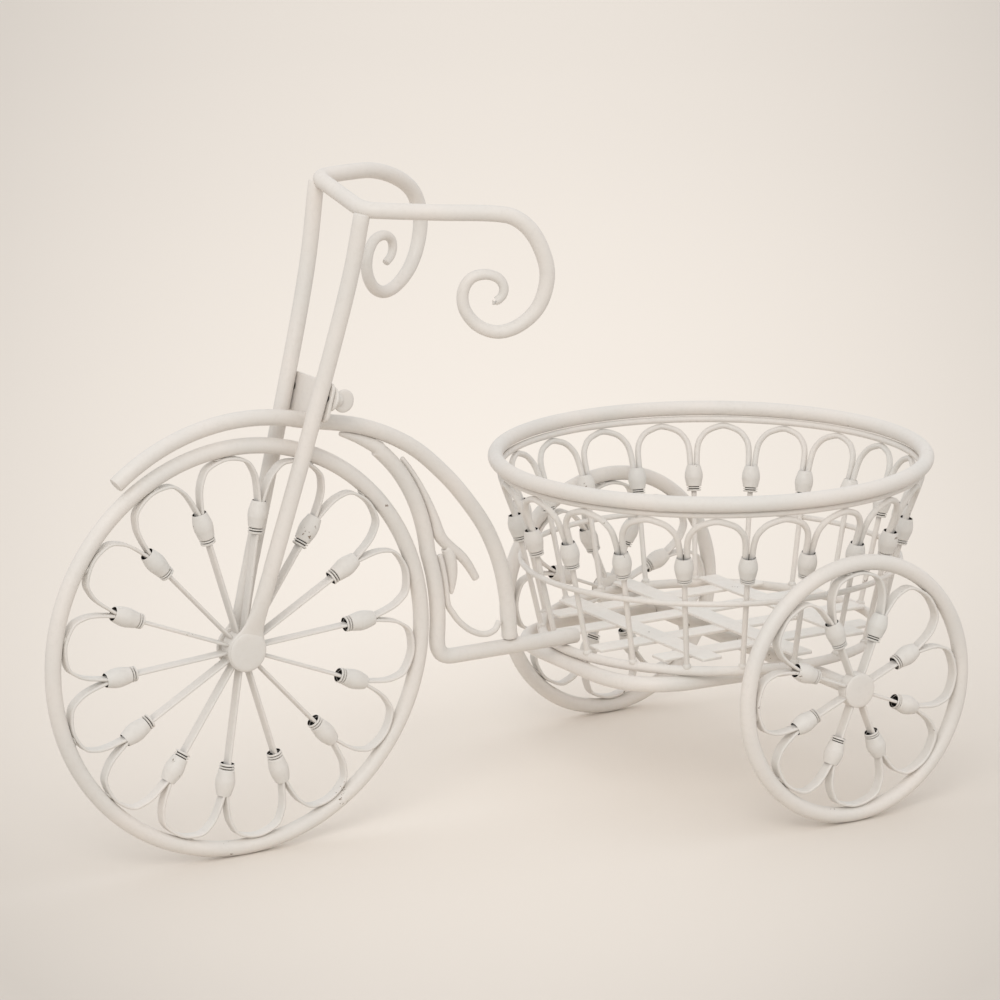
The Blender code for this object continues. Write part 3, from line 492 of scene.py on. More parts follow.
# Barrel clips: (along, radius) from the collar to the pinched end, then back through the bore
COLLAR = ((0.0, 3.4), (0.15, 3.75), (0.7, 3.85), (0.9, 3.6), (0.95, 2.8), (1.4, 2.8), (1.45, 3.65),
          (1.6, 3.9), (1.9, 3.9), (2.05, 3.65), (2.1, 2.9), (2.5, 2.9), (2.55, 3.75))
RIDGES = [(2.8 + 0.36 * i, 3.98 + 0.072 * i + (0.05 if i % 2 else -0.03)) for i in range(12)]
SHOULDER = ((7.3, 4.88), (8.6, 4.9), (10.0, 4.74), (11.3, 4.42), (12.5, 4.05), (13.4, 3.8), (14.0, 3.55))
BORE = ((13.85, 3.4), (12.6, 3.3), (11.4, 2.4), (2.6, 2.3), (0.9, 3.0), (0.15, 3.2))


def barrel_clip(name, long=CLIP_LENGTH):
    """Turned clip with two grooves, fine ridges and a bore, whose floors are painted near-black as shade. X
    runs along it.
    """
    outline = [(along * MM * long / CLIP_LENGTH, radius * MM)
               for along, radius in (*COLLAR, *RIDGES, *SHOULDER, *BORE)]
    clip = lathe(name, outline, 24)
    clip.data.materials.append(CLIP_PAINT)
    # Second slot: near-black painted shade for the groove floors and the bore
    clip.data.materials.append(STEEL_AND_PAINTED_SHADE)
    for face in clip.data.polygons:
        away = math.hypot(face.center.y, face.center.z)
        inward = face.normal.y * face.center.y + face.normal.z * face.center.z < 0
        # Groove floors, the bore's bottom and the bore's inner faces take the painted shade
        floor = away < 3.0 * MM and face.center.x < 3.1 * MM
        face.material_index = 1 if floor or inward and away < 3.35 * MM else 0
    return clip


def spoke(name, hub_radius, clip_at, long):
    """Flat strip out of the hub that ends inside its clip."""
    start = clip_at + CLIP_LENGTH / 2 - long
    blade = strip(name + "_blade", [(hub_radius - 0.6 * MM, 0), (start + 0.8 * MM, 0)],
                  STRIP_WIDTH, STRIP_THICK)
    blade.data.materials.append(STRIP_PAINT)
    clip = settle(barrel_clip(name + "_clip", long), Matrix.Translation((start, 0, 0)))
    return joined(name, [clip, blade])


def lobe(name, lobes, root, mouth, top):
    """One bent strip, from inside one clip round to inside the next."""
    half = math.pi / lobes
    side = STRIP_THICK / 2 + 0.05 * MM
    rise = [(side / root / half, root), (side / mouth / half, mouth)]
    rise += [(across, mouth + (top - mouth) * up) for across, up in LOBE]
    fall = [(2 - across, radius) for across, radius in rise[-2::-1]]
    points = [polar(Vector(), radius, half * across) for across, radius in rise + fall]
    path = points[:1] + round_path(points[1:-1], 5) + points[-1:]
    return strip(name, [(point.x, point.z) for point in path], STRIP_WIDTH, STRIP_THICK)


def weld(name, size, seed):
    """Small uneven bead of weld under the paint."""
    let_go()
    bpy.ops.mesh.primitive_ico_sphere_add(subdivisions=2, radius=1)
    bead = made(name)
    take(bead)
    bpy.ops.object.mode_set(mode="EDIT")
    bpy.ops.mesh.select_all(action="SELECT")
    bpy.ops.transform.vertex_random(offset=0.10, uniform=0.4, normal=1.0, seed=seed)
    bpy.ops.object.mode_set(mode="OBJECT")
    settle(bead, Matrix.Diagonal((*size, 1)))
    bead.data.materials.append(WELD_PAINT)
    return clean(bead, 80)


def hub(name, radius, half):
    edge = 0.9 * MM
    bore = AXLE_R + GAP
    outline = [(-half, bore), (-half, radius - edge), (edge * 0.3 - half, radius - edge * 0.3),
               (edge - half, radius), (half - edge, radius), (half - edge * 0.3, radius - edge * 0.3),
               (half, radius - edge), (half, bore)]
    return lathe(name, outline, 48)


def wheel(word, body, centre, nodes, sizes, seed):
    """Rim, lobes with their welds, hub, and spokes with their clips."""
    rim_node, band_node, hub_node, spoke_node = nodes
    radius, lobes, depth, phase, hub_radius, hub_half, clip_length = sizes
    line_radius = radius - TUBE_R
    clip_at = radius - depth
    steps = lobes * 12
    ring, thick = [], []
    for i in range(steps):
        angle = math.tau * i / steps
        ring.append(polar(centre, line_radius, angle))
        seam = math.exp(-((angle - math.radians(258)) * line_radius / (2.2 * MM)) ** 2)
        thick.append(TUBE_R * (1 - 0.012 * math.sin(angle * 5 + seed) ** 2) + 0.25 * MM * seam)
    rim = bar(word + "_rim_bar", ring, thick, 24, closed=True)
    dress(rim, body, BAR_PAINT, rim_node)

    mouth = clip_at + CLIP_LENGTH / 2
    top = line_radius - TUBE_R - STRIP_THICK / 2 - 0.05 * MM
    first = lobe(word + "_lobe", lobes, mouth - 1.4 * MM, mouth, top)
    first.data.materials.append(STRIP_PAINT)
    bead = weld(word + "_bead", (0.55 * MM, 2.1 * MM, 2.6 * MM), seed)
    inner = line_radius - TUBE_R - 0.25 * MM
    half = math.pi / lobes
    parts = []
    for i in range(lobes):
        turn = phase + 2 * half * i
        parts.append(copied(first, word + "_lobe_copy", about_y(turn, centre)))
        side = half * (0.22 if i % 2 else -0.16)
        spot = Matrix.Translation((inner, 0, 0))
        parts.append(copied(bead, word + "_bead_copy", about_y(turn + half + side, centre) @ spot))
    bpy.data.objects.remove(first)
    bpy.data.objects.remove(bead)
    band = joined(word + "_lobes", parts)
    dress(band, body, STRIP_PAINT, band_node)

    core = settle(hub(word + "_hub_disc", hub_radius, hub_half),
                  Matrix.Translation(centre) @ Matrix.Rotation(math.radians(90), 4, "Z"))
    dress(core, body, BAR_PAINT, hub_node)

    model = spoke(word + "_spoke", hub_radius, clip_at, clip_length)
    for i in range(lobes):
        turn = about_y(phase + 2 * half * i, centre)
        one = copied(model, "%s_spoke_%02d" % (word, i + 1), turn)
        dress(one, body, STRIP_PAINT, "%s_%02d" % (spoke_node, i + 1))
    bpy.data.objects.remove(model)


# Fork, handlebar and frame: the same lines as the solids
def at_height(low, high, height):
    return low + (high - low) * ((height - low.z) / (high.z - low.z))


def fork_back():
    return Vector((FORK_TOP - FRONT_AXLE.z, 0, -FORK_TRAIL)).normalized()


def fork_line(side):
    foot = FRONT_AXLE + Vector((0, side * (HUB_HALF + GAP + 2.8 * MM), 0))
    top = Vector((FRONT_AXLE.x + FORK_TRAIL, side * FORK_TOP_HALF, FORK_TOP))
    low = FRONT_AXLE.z + (FRONT_RADIUS + TUBE_R + FENDER_TOP_GAP + CROWN_RISE) * fork_back().x
    high = low + (FORK_TOP - low) * FORK_SHOULDER
    bow = Vector((FORK_BOW, 0, 0))
    return foot, at_height(foot, top, low) + bow, at_height(foot, top, high) + bow, top


def fork_legs():
    """Leg bars that flatten toward the axle, each with its eye."""
    for side, end in ((-1, "left"), (1, "right")):
        foot, crown, shoulder, top = fork_line(side)
        low = at_height(foot, crown, FRONT_AXLE.z + LEG_FOOT_RISE)
        taper = at_height(foot, crown, FRONT_AXLE.z + LEG_FULL_RISE)
        high = at_height(shoulder, top, bar_corner(side).z - TUBE_R * 0.4)
        path = round_path([low, taper, crown, shoulder, high], 6)
        radii = []
        for point in path:
            share = min(1, (point.z - low.z) / (taper.z - low.z))
            radii.append(LEG_FOOT_R + (TUBE_R - LEG_FOOT_R) * math.sin(share * math.pi / 2))
        leg = cut_bar("leg_bar", path, radii)
        inner = HUB_HALF + GAP
        rim = EYE_R - 0.7 * MM
        bore = AXLE_R + GAP
        outline = [(inner, bore), (inner, rim), (inner + 0.2 * MM, rim + 0.5 * MM),
                   (inner + 0.7 * MM, EYE_R), (inner + EYE_THICK - 0.7 * MM, EYE_R),
                   (inner + EYE_THICK - 0.2 * MM, rim + 0.5 * MM), (inner + EYE_THICK, rim),
                   (inner + EYE_THICK, bore)]
        eye = lathe("eye", outline, 48)
        settle(eye, Matrix.Translation(FRONT_AXLE) @ Matrix.Rotation(math.radians(90 * side), 4, "Z"))
        web = flattened_foot("web", foot, crown, side)
        piece = joined("fork_leg_bar_" + end, [leg, eye, web])
        dress(piece, "stand", BAR_PAINT, "fork_leg_" + end)


# Hammered foot, in mm: height over the axle, half width, half depth, shift outwards
FOOT_STATIONS = ((5.5, 8.7, 1.15, 0.0), (7.5, 7.6, 1.2, 0.0), (10.0, 6.3, 1.4, 0.0), (13.0, 5.3, 1.8, 0.3),
                 (17.0, 4.7, 2.4, 0.7), (23.0, 4.35, 3.0, 1.1), (31.0, 4.15, 3.6, 1.5), (40.0, 3.9, 3.8, 1.6))


def flattened_foot(name, foot, crown, side):
    """Hammered end of a leg: round above, wide and thin at the eye."""
    let_go()
    bpy.ops.mesh.primitive_circle_add(vertices=24, radius=1, fill_type="NGON")
    web = made(name)
    take(web)
    bpy.ops.object.mode_set(mode="EDIT")
    bpy.ops.mesh.select_all(action="SELECT")
    rise, wide, deep, _ = (value * MM for value in FOOT_STATIONS[0])
    bpy.ops.transform.resize(value=(wide, deep, 1), center_override=(0, 0, 0))
    bpy.ops.transform.translate(value=(0, 0, rise))
    for a, b in zip(FOOT_STATIONS, FOOT_STATIONS[1:]):
        step = (0, side * (b[3] - a[3]) * MM, (b[0] - a[0]) * MM)
        bpy.ops.mesh.extrude_region_move(TRANSFORM_OT_translate={"value": step})
        bpy.ops.transform.resize(value=(b[1] / a[1], b[2] / a[2], 1),
                                 center_override=(0, side * b[3] * MM, b[0] * MM))
    bpy.ops.object.mode_set(mode="OBJECT")
    up = (crown - foot).normalized()
    across = Vector((0, 1, 0)).cross(up).normalized()
    turn = Matrix((across, up.cross(across), up)).transposed().to_4x4()
    place = FRONT_AXLE + Vector((0, side * (HUB_HALF + GAP + EYE_THICK / 2), 0))
    settle(web, Matrix.Translation(place) @ turn)
    return clean(web, 60)


# Grips: share of the reach, share of the drop. The far grip sets off rounder than the near one
GRIP = ((0.0, 0.0), (0.41, 0.02), (0.72, 0.03), (0.85, 0.075), (0.945, 0.22), (1.0, 0.46), (0.985, 0.66),
        (0.925, 0.83), (0.82, 0.955), (0.706, 1.0), (0.60, 0.945), (0.533, 0.815), (0.528, 0.67),
        (0.575, 0.56), (0.655, 0.525), (0.725, 0.555), (0.755, 0.625), (0.745, 0.70), (0.70, 0.76))
FAR_GRIP = ((0.0, 0.0), (0.25, -0.02), (0.50, -0.022), (0.72, 0.045), (0.88, 0.155), (0.965, 0.30)) + GRIP[5:]


def bar_corner(side):
    shoulder, top = fork_line(side)[2:]
    return at_height(shoulder, top, BAR_HEIGHT + side * FORK_TOP_HALF * math.tan(BAR_ROLL))


def handlebar():
    """One bent bar: the rolled crossbar on the legs, and a scroll for each grip."""
    halves = []
    for side, pitch, shares in ((-1, NEAR_PITCH, GRIP), (1, FAR_PITCH, FAR_GRIP)):
        corner = bar_corner(side)
        along = Vector((math.cos(GRIP_SPLAY), side * math.sin(GRIP_SPLAY), 0))
        along.z = along.y * math.tan(BAR_ROLL)
        coarse = []
        for across, down in shares:
            out = GRIP_REACH * across * math.cos(pitch) + GRIP_DROP * down * math.sin(pitch)
            fall = GRIP_DROP * down * math.cos(pitch) - GRIP_REACH * across * math.sin(pitch)
            coarse.append(corner + along * out - Vector((0, 0, fall)))
        inward = (bar_corner(-side) - corner).normalized()
        out = (coarse[1] - corner).normalized()
        bend = elbow(corner, corner + inward * CORNER_R, corner + out * CORNER_R, 10)
        run = [point for point in round_path(coarse, 8) if (point - corner).length > CORNER_R * 1.3]
        halves.append(bend + run)
    points = halves[0][::-1] + halves[1]
    count = len(halves[0])
    radii = []
    for i in range(len(points)):
        away = count - 1 - i if i < count else i - count
        share = max(0, away / (count - 1) - 0.25) / 0.75
        radii.append(TUBE_R + (GRIP_END_R - TUBE_R) * share)
    dress(cut_bar("handlebar_bar", points, radii, 24), "stand", BAR_PAINT, "handlebar")


def stay_floor():
    return FOOT_RING_HEIGHT + FOOT_RING_R + GAP + TUBE_R


DOWN_TUBE = ((0.0, 0.0), (0.28, 0.055), (0.51, 0.155), (0.68, 0.29), (0.80, 0.42), (0.89, 0.545),
             (0.955, 0.69), (0.99, 0.85), (1.0, 1.0))


def upper_tube():
    """Fender over the wheel that runs on as the down tube."""
    points = []
    for i in range(19):
        angle = FENDER_START + (FENDER_CROWN - FENDER_START) * i / 18
        gap = FENDER_END_GAP + (FENDER_TOP_GAP - FENDER_END_GAP) * i / 18
        points.append(polar(FRONT_AXLE, FRONT_RADIUS + TUBE_R + gap, angle))
    start = points[-1]
    end = Vector((DOWN_TUBE_X, 0, stay_floor() + TUBE_R + GAP))
    span = end - start
    bend = [start + Vector((span.x * right, 0, span.z * down)) for right, down in DOWN_TUBE]
    return points[:-3] + round_path(points[-3:] + bend[1:], 6)


def stay_line(angle):
    share = max(0, (angle - STAY_SWELL) / (STAY_TOP - STAY_SWELL))
    gap = STAY_GAP + (STAY_TOP_GAP - STAY_GAP) * math.sin(share * math.pi / 2)
    return polar(FRONT_AXLE, FRONT_RADIUS + TUBE_R + gap, angle)


def under_fender(angle, radius):
    """Where a bar lies along the fender's underside, at an angle about the front axle."""
    path = upper_tube()
    for a, b in zip(path, path[1:]):
        first = math.atan2(a.z - FRONT_AXLE.z, a.x - FRONT_AXLE.x)
        last = math.atan2(b.z - FRONT_AXLE.z, b.x - FRONT_AXLE.x)
        if last <= angle:
            break
    along = (b - a).normalized()
    inward = Vector((along.z, 0, -along.x))
    return a + (b - a) * ((first - angle) / (first - last)) + inward * (TUBE_R + radius)


def lower_tube():
    """Stay behind the wheel, hammered thin under the fender, that runs level to the basket."""
    tip, radii = [], []
    for i in range(8):
        share = i / 8
        radii.append(FORGED_TIP_R + (TUBE_R - FORGED_TIP_R) * share)
        tip.append(under_fender(STAY_TIP + (STAY_TOP - STAY_TIP) * share, radii[-1]))
    level = stay_floor()
    foot_angle = math.asin((level + STAY_DROP - FRONT_AXLE.z) / (FRONT_RADIUS + TUBE_R + STAY_GAP))
    points = [stay_line(STAY_TOP + (foot_angle - STAY_TOP) * i / 30) for i in range(31)]
    corner = Vector((points[-1].x, 0, level))
    rise = min(STAY_BEND, (points[-1].z - level) * 0.95)
    points += elbow(corner, corner + Vector((0, 0, rise)), corner + Vector((rise, 0, 0)), 10)
    points.append(Vector((BASKET_AXIS.x - FOOT_RING_RADIUS + 6 * MM, 0, level)))
    return tip + points, radii + [TUBE_R] * len(points)


def beside_stay(angle, radius, between=0):
    """Where a bar lies along the stay's back, or past a bar that lies between."""
    along = stay_line(angle) - stay_line(angle + math.radians(1))
    normal = Vector((-along.z, 0, along.x)).normalized()
    return stay_line(angle) + normal * (TUBE_R + radius + between + GAP)


def scroll_room(start):
    """Height from where a scroll leaves the stay down to the thin scroll's lowest point."""
    return start.z - stay_floor() - LOWER_SCROLL_LIFT


# Scrolls off the stay's back: share of the reach, share of the drop
UPPER_SCROLL = ((0.12, 0.16), (0.35, 0.34), (0.58, 0.50), (0.78, 0.70), (1.0, 1.0))
LOWER_SCROLL = ((0.03, 0.31), (0.125, 0.50), (0.266, 0.707), (0.479, 0.90), (0.715, 1.0), (0.908, 0.95),
                (1.0, 0.785))
LEAF_SWELL = (0.6, 0.88, 1.0, 1.0, 0.95, 0.85, 0.68, 0.48, 0.22)


def upper_scroll():
    """Rod that swells out of the stay's back and swings away from it."""
    points, radii = [], []
    for i in range(8):
        angle = UPPER_SCROLL_START + (UPPER_SCROLL_LEAVES - UPPER_SCROLL_START) * i / 7
        radii.append(FORGED_TIP_R + (SCROLL_THICK_R - FORGED_TIP_R) * (i / 7) ** 2)
        points.append(beside_stay(angle, radii[-1]))
    start = points[-1]
    across = (DOWN_TUBE_X - start.x) * UPPER_SCROLL_REACH
    drop = scroll_room(start) * UPPER_SCROLL_DROP
    for right, down in UPPER_SCROLL:
        points.append(start + Vector((across * right, 0, -drop * down)))
        radii.append(SCROLL_THICK_R + (SCROLL_R - SCROLL_THICK_R) * down)
    return points, radii


def leaf():
    """Leaf that hangs from the upper scroll, past the thin rod."""
    points, radii = [], []
    for i, share in enumerate(LEAF_SWELL):
        radii.append(SCROLL_THICK_R * share)
        angle = LEAF_TOP + (LEAF_END - LEAF_TOP) * i / (len(LEAF_SWELL) - 1)
        points.append(beside_stay(angle, radii[-1], THIN_SCROLL_R * 2 + GAP))
    return points, radii


def lower_scroll():
    """Thin rod down the stay's back that curls forward to the down tube's foot."""
    turn = LOWER_SCROLL_LEAVES - LOWER_SCROLL_START
    points = [beside_stay(LOWER_SCROLL_START + turn * i / 3, THIN_SCROLL_R) for i in range(4)]
    start = points[-1]
    across = DOWN_TUBE_X - TUBE_R - THIN_SCROLL_R - LOWER_SCROLL_TIP_GAP - start.x
    drop = scroll_room(start)
    for right, down in LOWER_SCROLL:
        points.append(start + Vector((across * right, 0, -drop * down)))
    return round_path(points, 6)


def smoothed(points, radii, steps):
    """Finer points, and radii to go with them."""
    sizes = []
    for a, b in zip(radii, radii[1:]):
        sizes += [a + (b - a) * k / steps for k in range(steps)]
    return round_path(points, steps), sizes + [radii[-1]]


def frame_bars():
    dress(cut_bar("fender_and_down_tube", upper_tube(), TUBE_R, 24), "stand", BAR_PAINT,
          "frame_tube_upper")
    dress(cut_bar("stay_and_level_run", *lower_tube(), 24), "stand", BAR_PAINT, "frame_tube_lower")
    rod = cut_bar("scroll_rod", *smoothed(*upper_scroll(), 5), 18)
    blade = cut_bar("scroll_leaf", *smoothed(*leaf(), 4), 18)
    dress(joined("scroll_rod_upper", [rod, blade]), "stand", BAR_PAINT, "frame_scroll_upper")
    dress(cut_bar("scroll_rod_lower", lower_scroll(), THIN_SCROLL_R, 16), "stand", BAR_PAINT,
          "frame_scroll_lower")


# Crown: plate, saddle, studs and thumb nuts
PLATE_FRONT = TUBE_R + GAP
PLATE_THICK = 1.8 * MM
PLATE_BACK = PLATE_FRONT + PLATE_THICK
PLATE_MARGIN = 3.6 * MM
PLATE_LOW = -12 * MM
PLATE_HIGH = 7.5 * MM
SADDLE_HALF = 7 * MM
SADDLE_LOW = -17 * MM
SADDLE_HIGH = -3 * MM
SADDLE_THICK = 5 * MM
STUD_R = 2.0 * MM
STUD_REACH = 4.2 * MM
THREAD_PITCH = 0.7 * MM
NUT_START = PLATE_BACK + GAP
NUT_BORE = 2.3 * MM
NUT_DEPTH = 4.5 * MM
PADDLE_PLACE = 7.3 * MM
PADDLE_HALF = (5.6 * MM, 1.1 * MM, 5.8 * MM)
# Thumb nut's outside in mm, from its flange to the top of its neck: (along, radius)
NUT_OUTLINE = ((0, 5.4), (0.25, 5.8), (0.7, 6.0), (1.1, 5.9), (1.5, 5.5), (1.8, 4.6), (2.0, 3.7), (2.6, 3.4),
               (4.2, 3.3), (5.2, 3.0), (5.9, 2.2), (6.2, 0))


def crown_turn(place):
    """Local X across, Y up the fork, Z back from its plane."""
    back = fork_back()
    up = Vector((-back.z, 0, back.x))
    turn = Matrix((up.cross(back), up, back)).transposed().to_4x4()
    return Matrix.Translation(place) @ turn


def rounded_plate(name, half_wide, low, high, near, far, corner, edge):
    """Flat plate with round corners and softened edges."""
    let_go()
    bpy.ops.mesh.primitive_plane_add(size=2)
    plate = made(name)
    settle(plate, Matrix.Translation((0, (low + high) / 2, near))
           @ Matrix.Diagonal((half_wide, (high - low) / 2, 1, 1)))
    take(plate)
    bpy.ops.object.mode_set(mode="EDIT")
    bpy.ops.mesh.select_mode(type="VERT")
    bpy.ops.mesh.select_all(action="SELECT")
    bpy.ops.mesh.bevel(offset=corner, segments=6, affect="VERTICES")
    bpy.ops.mesh.select_all(action="SELECT")
    bpy.ops.mesh.extrude_region_move(TRANSFORM_OT_translate={"value": (0, 0, far - near)})
    bpy.ops.mesh.select_all(action="SELECT")
    bpy.ops.mesh.normals_make_consistent(inside=False)
    bpy.ops.object.mode_set(mode="OBJECT")
    modified(plate, "BEVEL", width=edge, segments=3, limit_method="ANGLE",
             angle_limit=math.radians(50))
    return clean(plate)


def crown():
    place = (fork_line(-1)[1] + fork_line(1)[1]) / 2
    half = fork_line(1)[1].y + PLATE_MARGIN
    plate = rounded_plate("plate", half, PLATE_LOW, PLATE_HIGH, PLATE_FRONT, PLATE_BACK, 4 * MM, 0.5 * MM)
    saddle = rounded_plate("saddle", SADDLE_HALF, SADDLE_LOW, SADDLE_HIGH, PLATE_BACK - 0.7 * MM,
                           PLATE_BACK + SADDLE_THICK, 2 * MM, 0.9 * MM)
    bead = weld("crown_bead", (6.2 * MM, 1.3 * MM, 1.3 * MM), 5)
    settle(bead, Matrix.Translation((0, -3.2 * MM, PLATE_BACK + 0.3 * MM)))
    piece = joined("crown_plate_and_saddle", [plate, saddle, bead])
    settle(piece, crown_turn(place))
    dress(piece, "stand", BAR_PAINT, "crown_bracket")
    for side, end in ((-1, "left"), (1, "right")):
        place = crown_turn(fork_line(side)[1])
        clamp_stud(place, end)
        thumb_nut(place, end)


ALONG_STUD = Matrix.Rotation(math.radians(-90), 4, "Y")


def clamp_stud(place, end):
    """Threaded pin from inside a leg through the plate."""
    tip = NUT_START + STUD_REACH
    outline = [(-1.5 * MM, 0), (-1.5 * MM, STUD_R)]
    along = PLATE_FRONT
    while along < tip - THREAD_PITCH:
        outline += [(along, STUD_R), (along + THREAD_PITCH / 2, STUD_R - 0.25 * MM)]
        along += THREAD_PITCH
    outline += [(tip - 0.4 * MM, STUD_R - 0.1 * MM), (tip, STUD_R - 0.5 * MM), (tip, 0)]
    stud = lathe("stud_" + end, outline, 24, closed=False)
    # The stud's own dark steel, in the material that also paints shade in the bores
    stud.data.materials.append(STEEL_AND_PAINTED_SHADE)
    settle(stud, place @ ALONG_STUD)
    dress(stud, "stand", STEEL_AND_PAINTED_SHADE, "clamp_stud_" + end)


def thumb_nut(place, end):
    """Turned nut whose bore is painted near-black as shade, and a flat oval paddle that leaves room for the
    stud.
    """
    outline = [(along * MM, radius * MM) for along, radius in NUT_OUTLINE]
    inner = [(NUT_DEPTH, 0), (NUT_DEPTH, NUT_BORE * 0.5), (NUT_DEPTH - 0.5 * MM, NUT_BORE), (0, NUT_BORE)]
    body = lathe("nut_body", outline + inner, 32)
    body.data.materials.append(BAR_PAINT)
    body.data.materials.append(STEEL_AND_PAINTED_SHADE)
    # Faces inside the bore get the near-black material: painted shade
    for face in body.data.polygons:
        away = math.hypot(face.center.y, face.center.z)
        inside = 0.01 * MM < face.center.x < NUT_DEPTH + 0.1 * MM
        face.material_index = 1 if inside and away < NUT_BORE * 1.01 else 0
    let_go()
    bpy.ops.mesh.primitive_uv_sphere_add(segments=32, ring_count=20, radius=1)
    paddle = made("nut_paddle")
    for vertex in paddle.data.vertices:
        across = math.hypot(vertex.co.x, vertex.co.z)
        vertex.co.y = math.copysign(min(abs(vertex.co.y), 0.62) / 0.62, vertex.co.y) * (1 - 0.25 * across)
    settle(paddle, Matrix.Translation((PADDLE_PLACE, 0, 0)) @ Matrix.Diagonal((*PADDLE_HALF, 1)))
    let_go()
    bpy.ops.mesh.primitive_cylinder_add(vertices=24, radius=NUT_BORE, depth=NUT_DEPTH * 2)
    room = made("stud_room")
    settle(room, Matrix.Rotation(math.radians(90), 4, "Y"))
    modified(paddle, "BOOLEAN", object=room, operation="DIFFERENCE", solver="EXACT")
    bpy.data.objects.remove(room)
    clean(paddle, 60)
    paddle.data.materials.append(BAR_PAINT)
    nut = joined("thumb_nut_piece_" + end, [body, paddle])
    upright = Matrix.Rotation(math.radians(90), 4, "X")
    settle(nut, place @ Matrix.Translation((0, 0, NUT_START)) @ ALONG_STUD @ upright)
    dress(nut, "thumb_nut_" + end, BAR_PAINT, "thumb_nut_" + end)


def axles():
    quarter = Matrix.Rotation(math.radians(90), 4, "Z")
    seat = HUB_HALF + GAP + EYE_THICK + GAP
    head = 9.7 * MM
    half = [(seat, AXLE_R)]
    for out, share in ((-0.3, 1.0), (0.05, 0.995), (0.25, 0.97), (0.45, 0.92), (0.62, 0.82), (0.72, 0.66),
                       (0.78, 0.4), (0.8, 0.15), (0.8, 0)):
        half.append((seat + out * MM, head * share))
    outline = [(-along, radius) for along, radius in half[::-1]] + half
    piece = lathe("front_axle_pin", outline, 48, closed=False)
    settle(piece, Matrix.Translation(FRONT_AXLE) @ quarter)
    dress(piece, "stand", BAR_PAINT, "front_axle")

    shoulder = TRACK / 2 - REAR_HUB_HALF - GAP
    seat = TRACK / 2 + REAR_HUB_HALF + GAP
    cap = REAR_HUB_RADIUS
    half = [(shoulder - 0.5 * MM, TUBE_R), (shoulder, TUBE_R - 0.5 * MM), (shoulder, AXLE_R), (seat, AXLE_R),
            (seat, cap - 0.3 * MM), (seat + 0.15 * MM, cap), (seat + 0.4 * MM, cap * 0.985),
            (seat + 0.65 * MM, cap * 0.93), (seat + 0.82 * MM, cap * 0.78), (seat + 0.94 * MM, cap * 0.5),
            (seat + 1.0 * MM, cap * 0.2), (seat + 1.0 * MM, 0)]
    outline = [(-along, radius) for along, radius in half[::-1]] + half
    piece = lathe("rear_axle_bar", outline, 32, closed=False)
    settle(piece, Matrix.Translation(REAR_AXLE) @ quarter)
    dress(piece, "stand", BAR_PAINT, "rear_axle")


# Basket
def bay_angle(number):
    even = PHASE + PITCH * number
    return even + BAY_SHIFT + BAY_SWING * math.cos(even - BAY_SWING_AT)


def around(radius, angle, height):
    return Vector((BASKET_AXIS.x + radius * math.cos(angle), radius * math.sin(angle), height))


SLOPE = (CLIP_RING - FOOT_RING_RADIUS) / (CLIP_HEIGHT - FOOT_RING_HEIGHT)


def wall_radius(height):
    return FOOT_RING_RADIUS + SLOPE * (height - FOOT_RING_HEIGHT)


def hoop(name, radius, thick, height, seam, sides):
    """Ring of bar that lies flat, with the bulge of its weld seam."""
    points, sizes = [], []
    for i in range(240):
        angle = math.tau * i / 240
        points.append(around(radius, angle, height))
        bulge = math.exp(-((angle - seam) * radius / (2.2 * MM)) ** 2)
        sizes.append(thick * (1 - 0.015 * math.sin(3 * angle + seam) ** 2 + 0.07 * bulge))
    return bar(name, points, sizes, sides, closed=True)


def upright(angle, radius, height, lean):
    """Local X up the basket's wall at an angle about the basket."""
    out = Vector((math.cos(angle), math.sin(angle), 0))
    rise = Vector((out.x * lean, out.y * lean, 1))
    return facing(around(radius, angle, height), rise, Vector((-out.y, out.x, 0)))


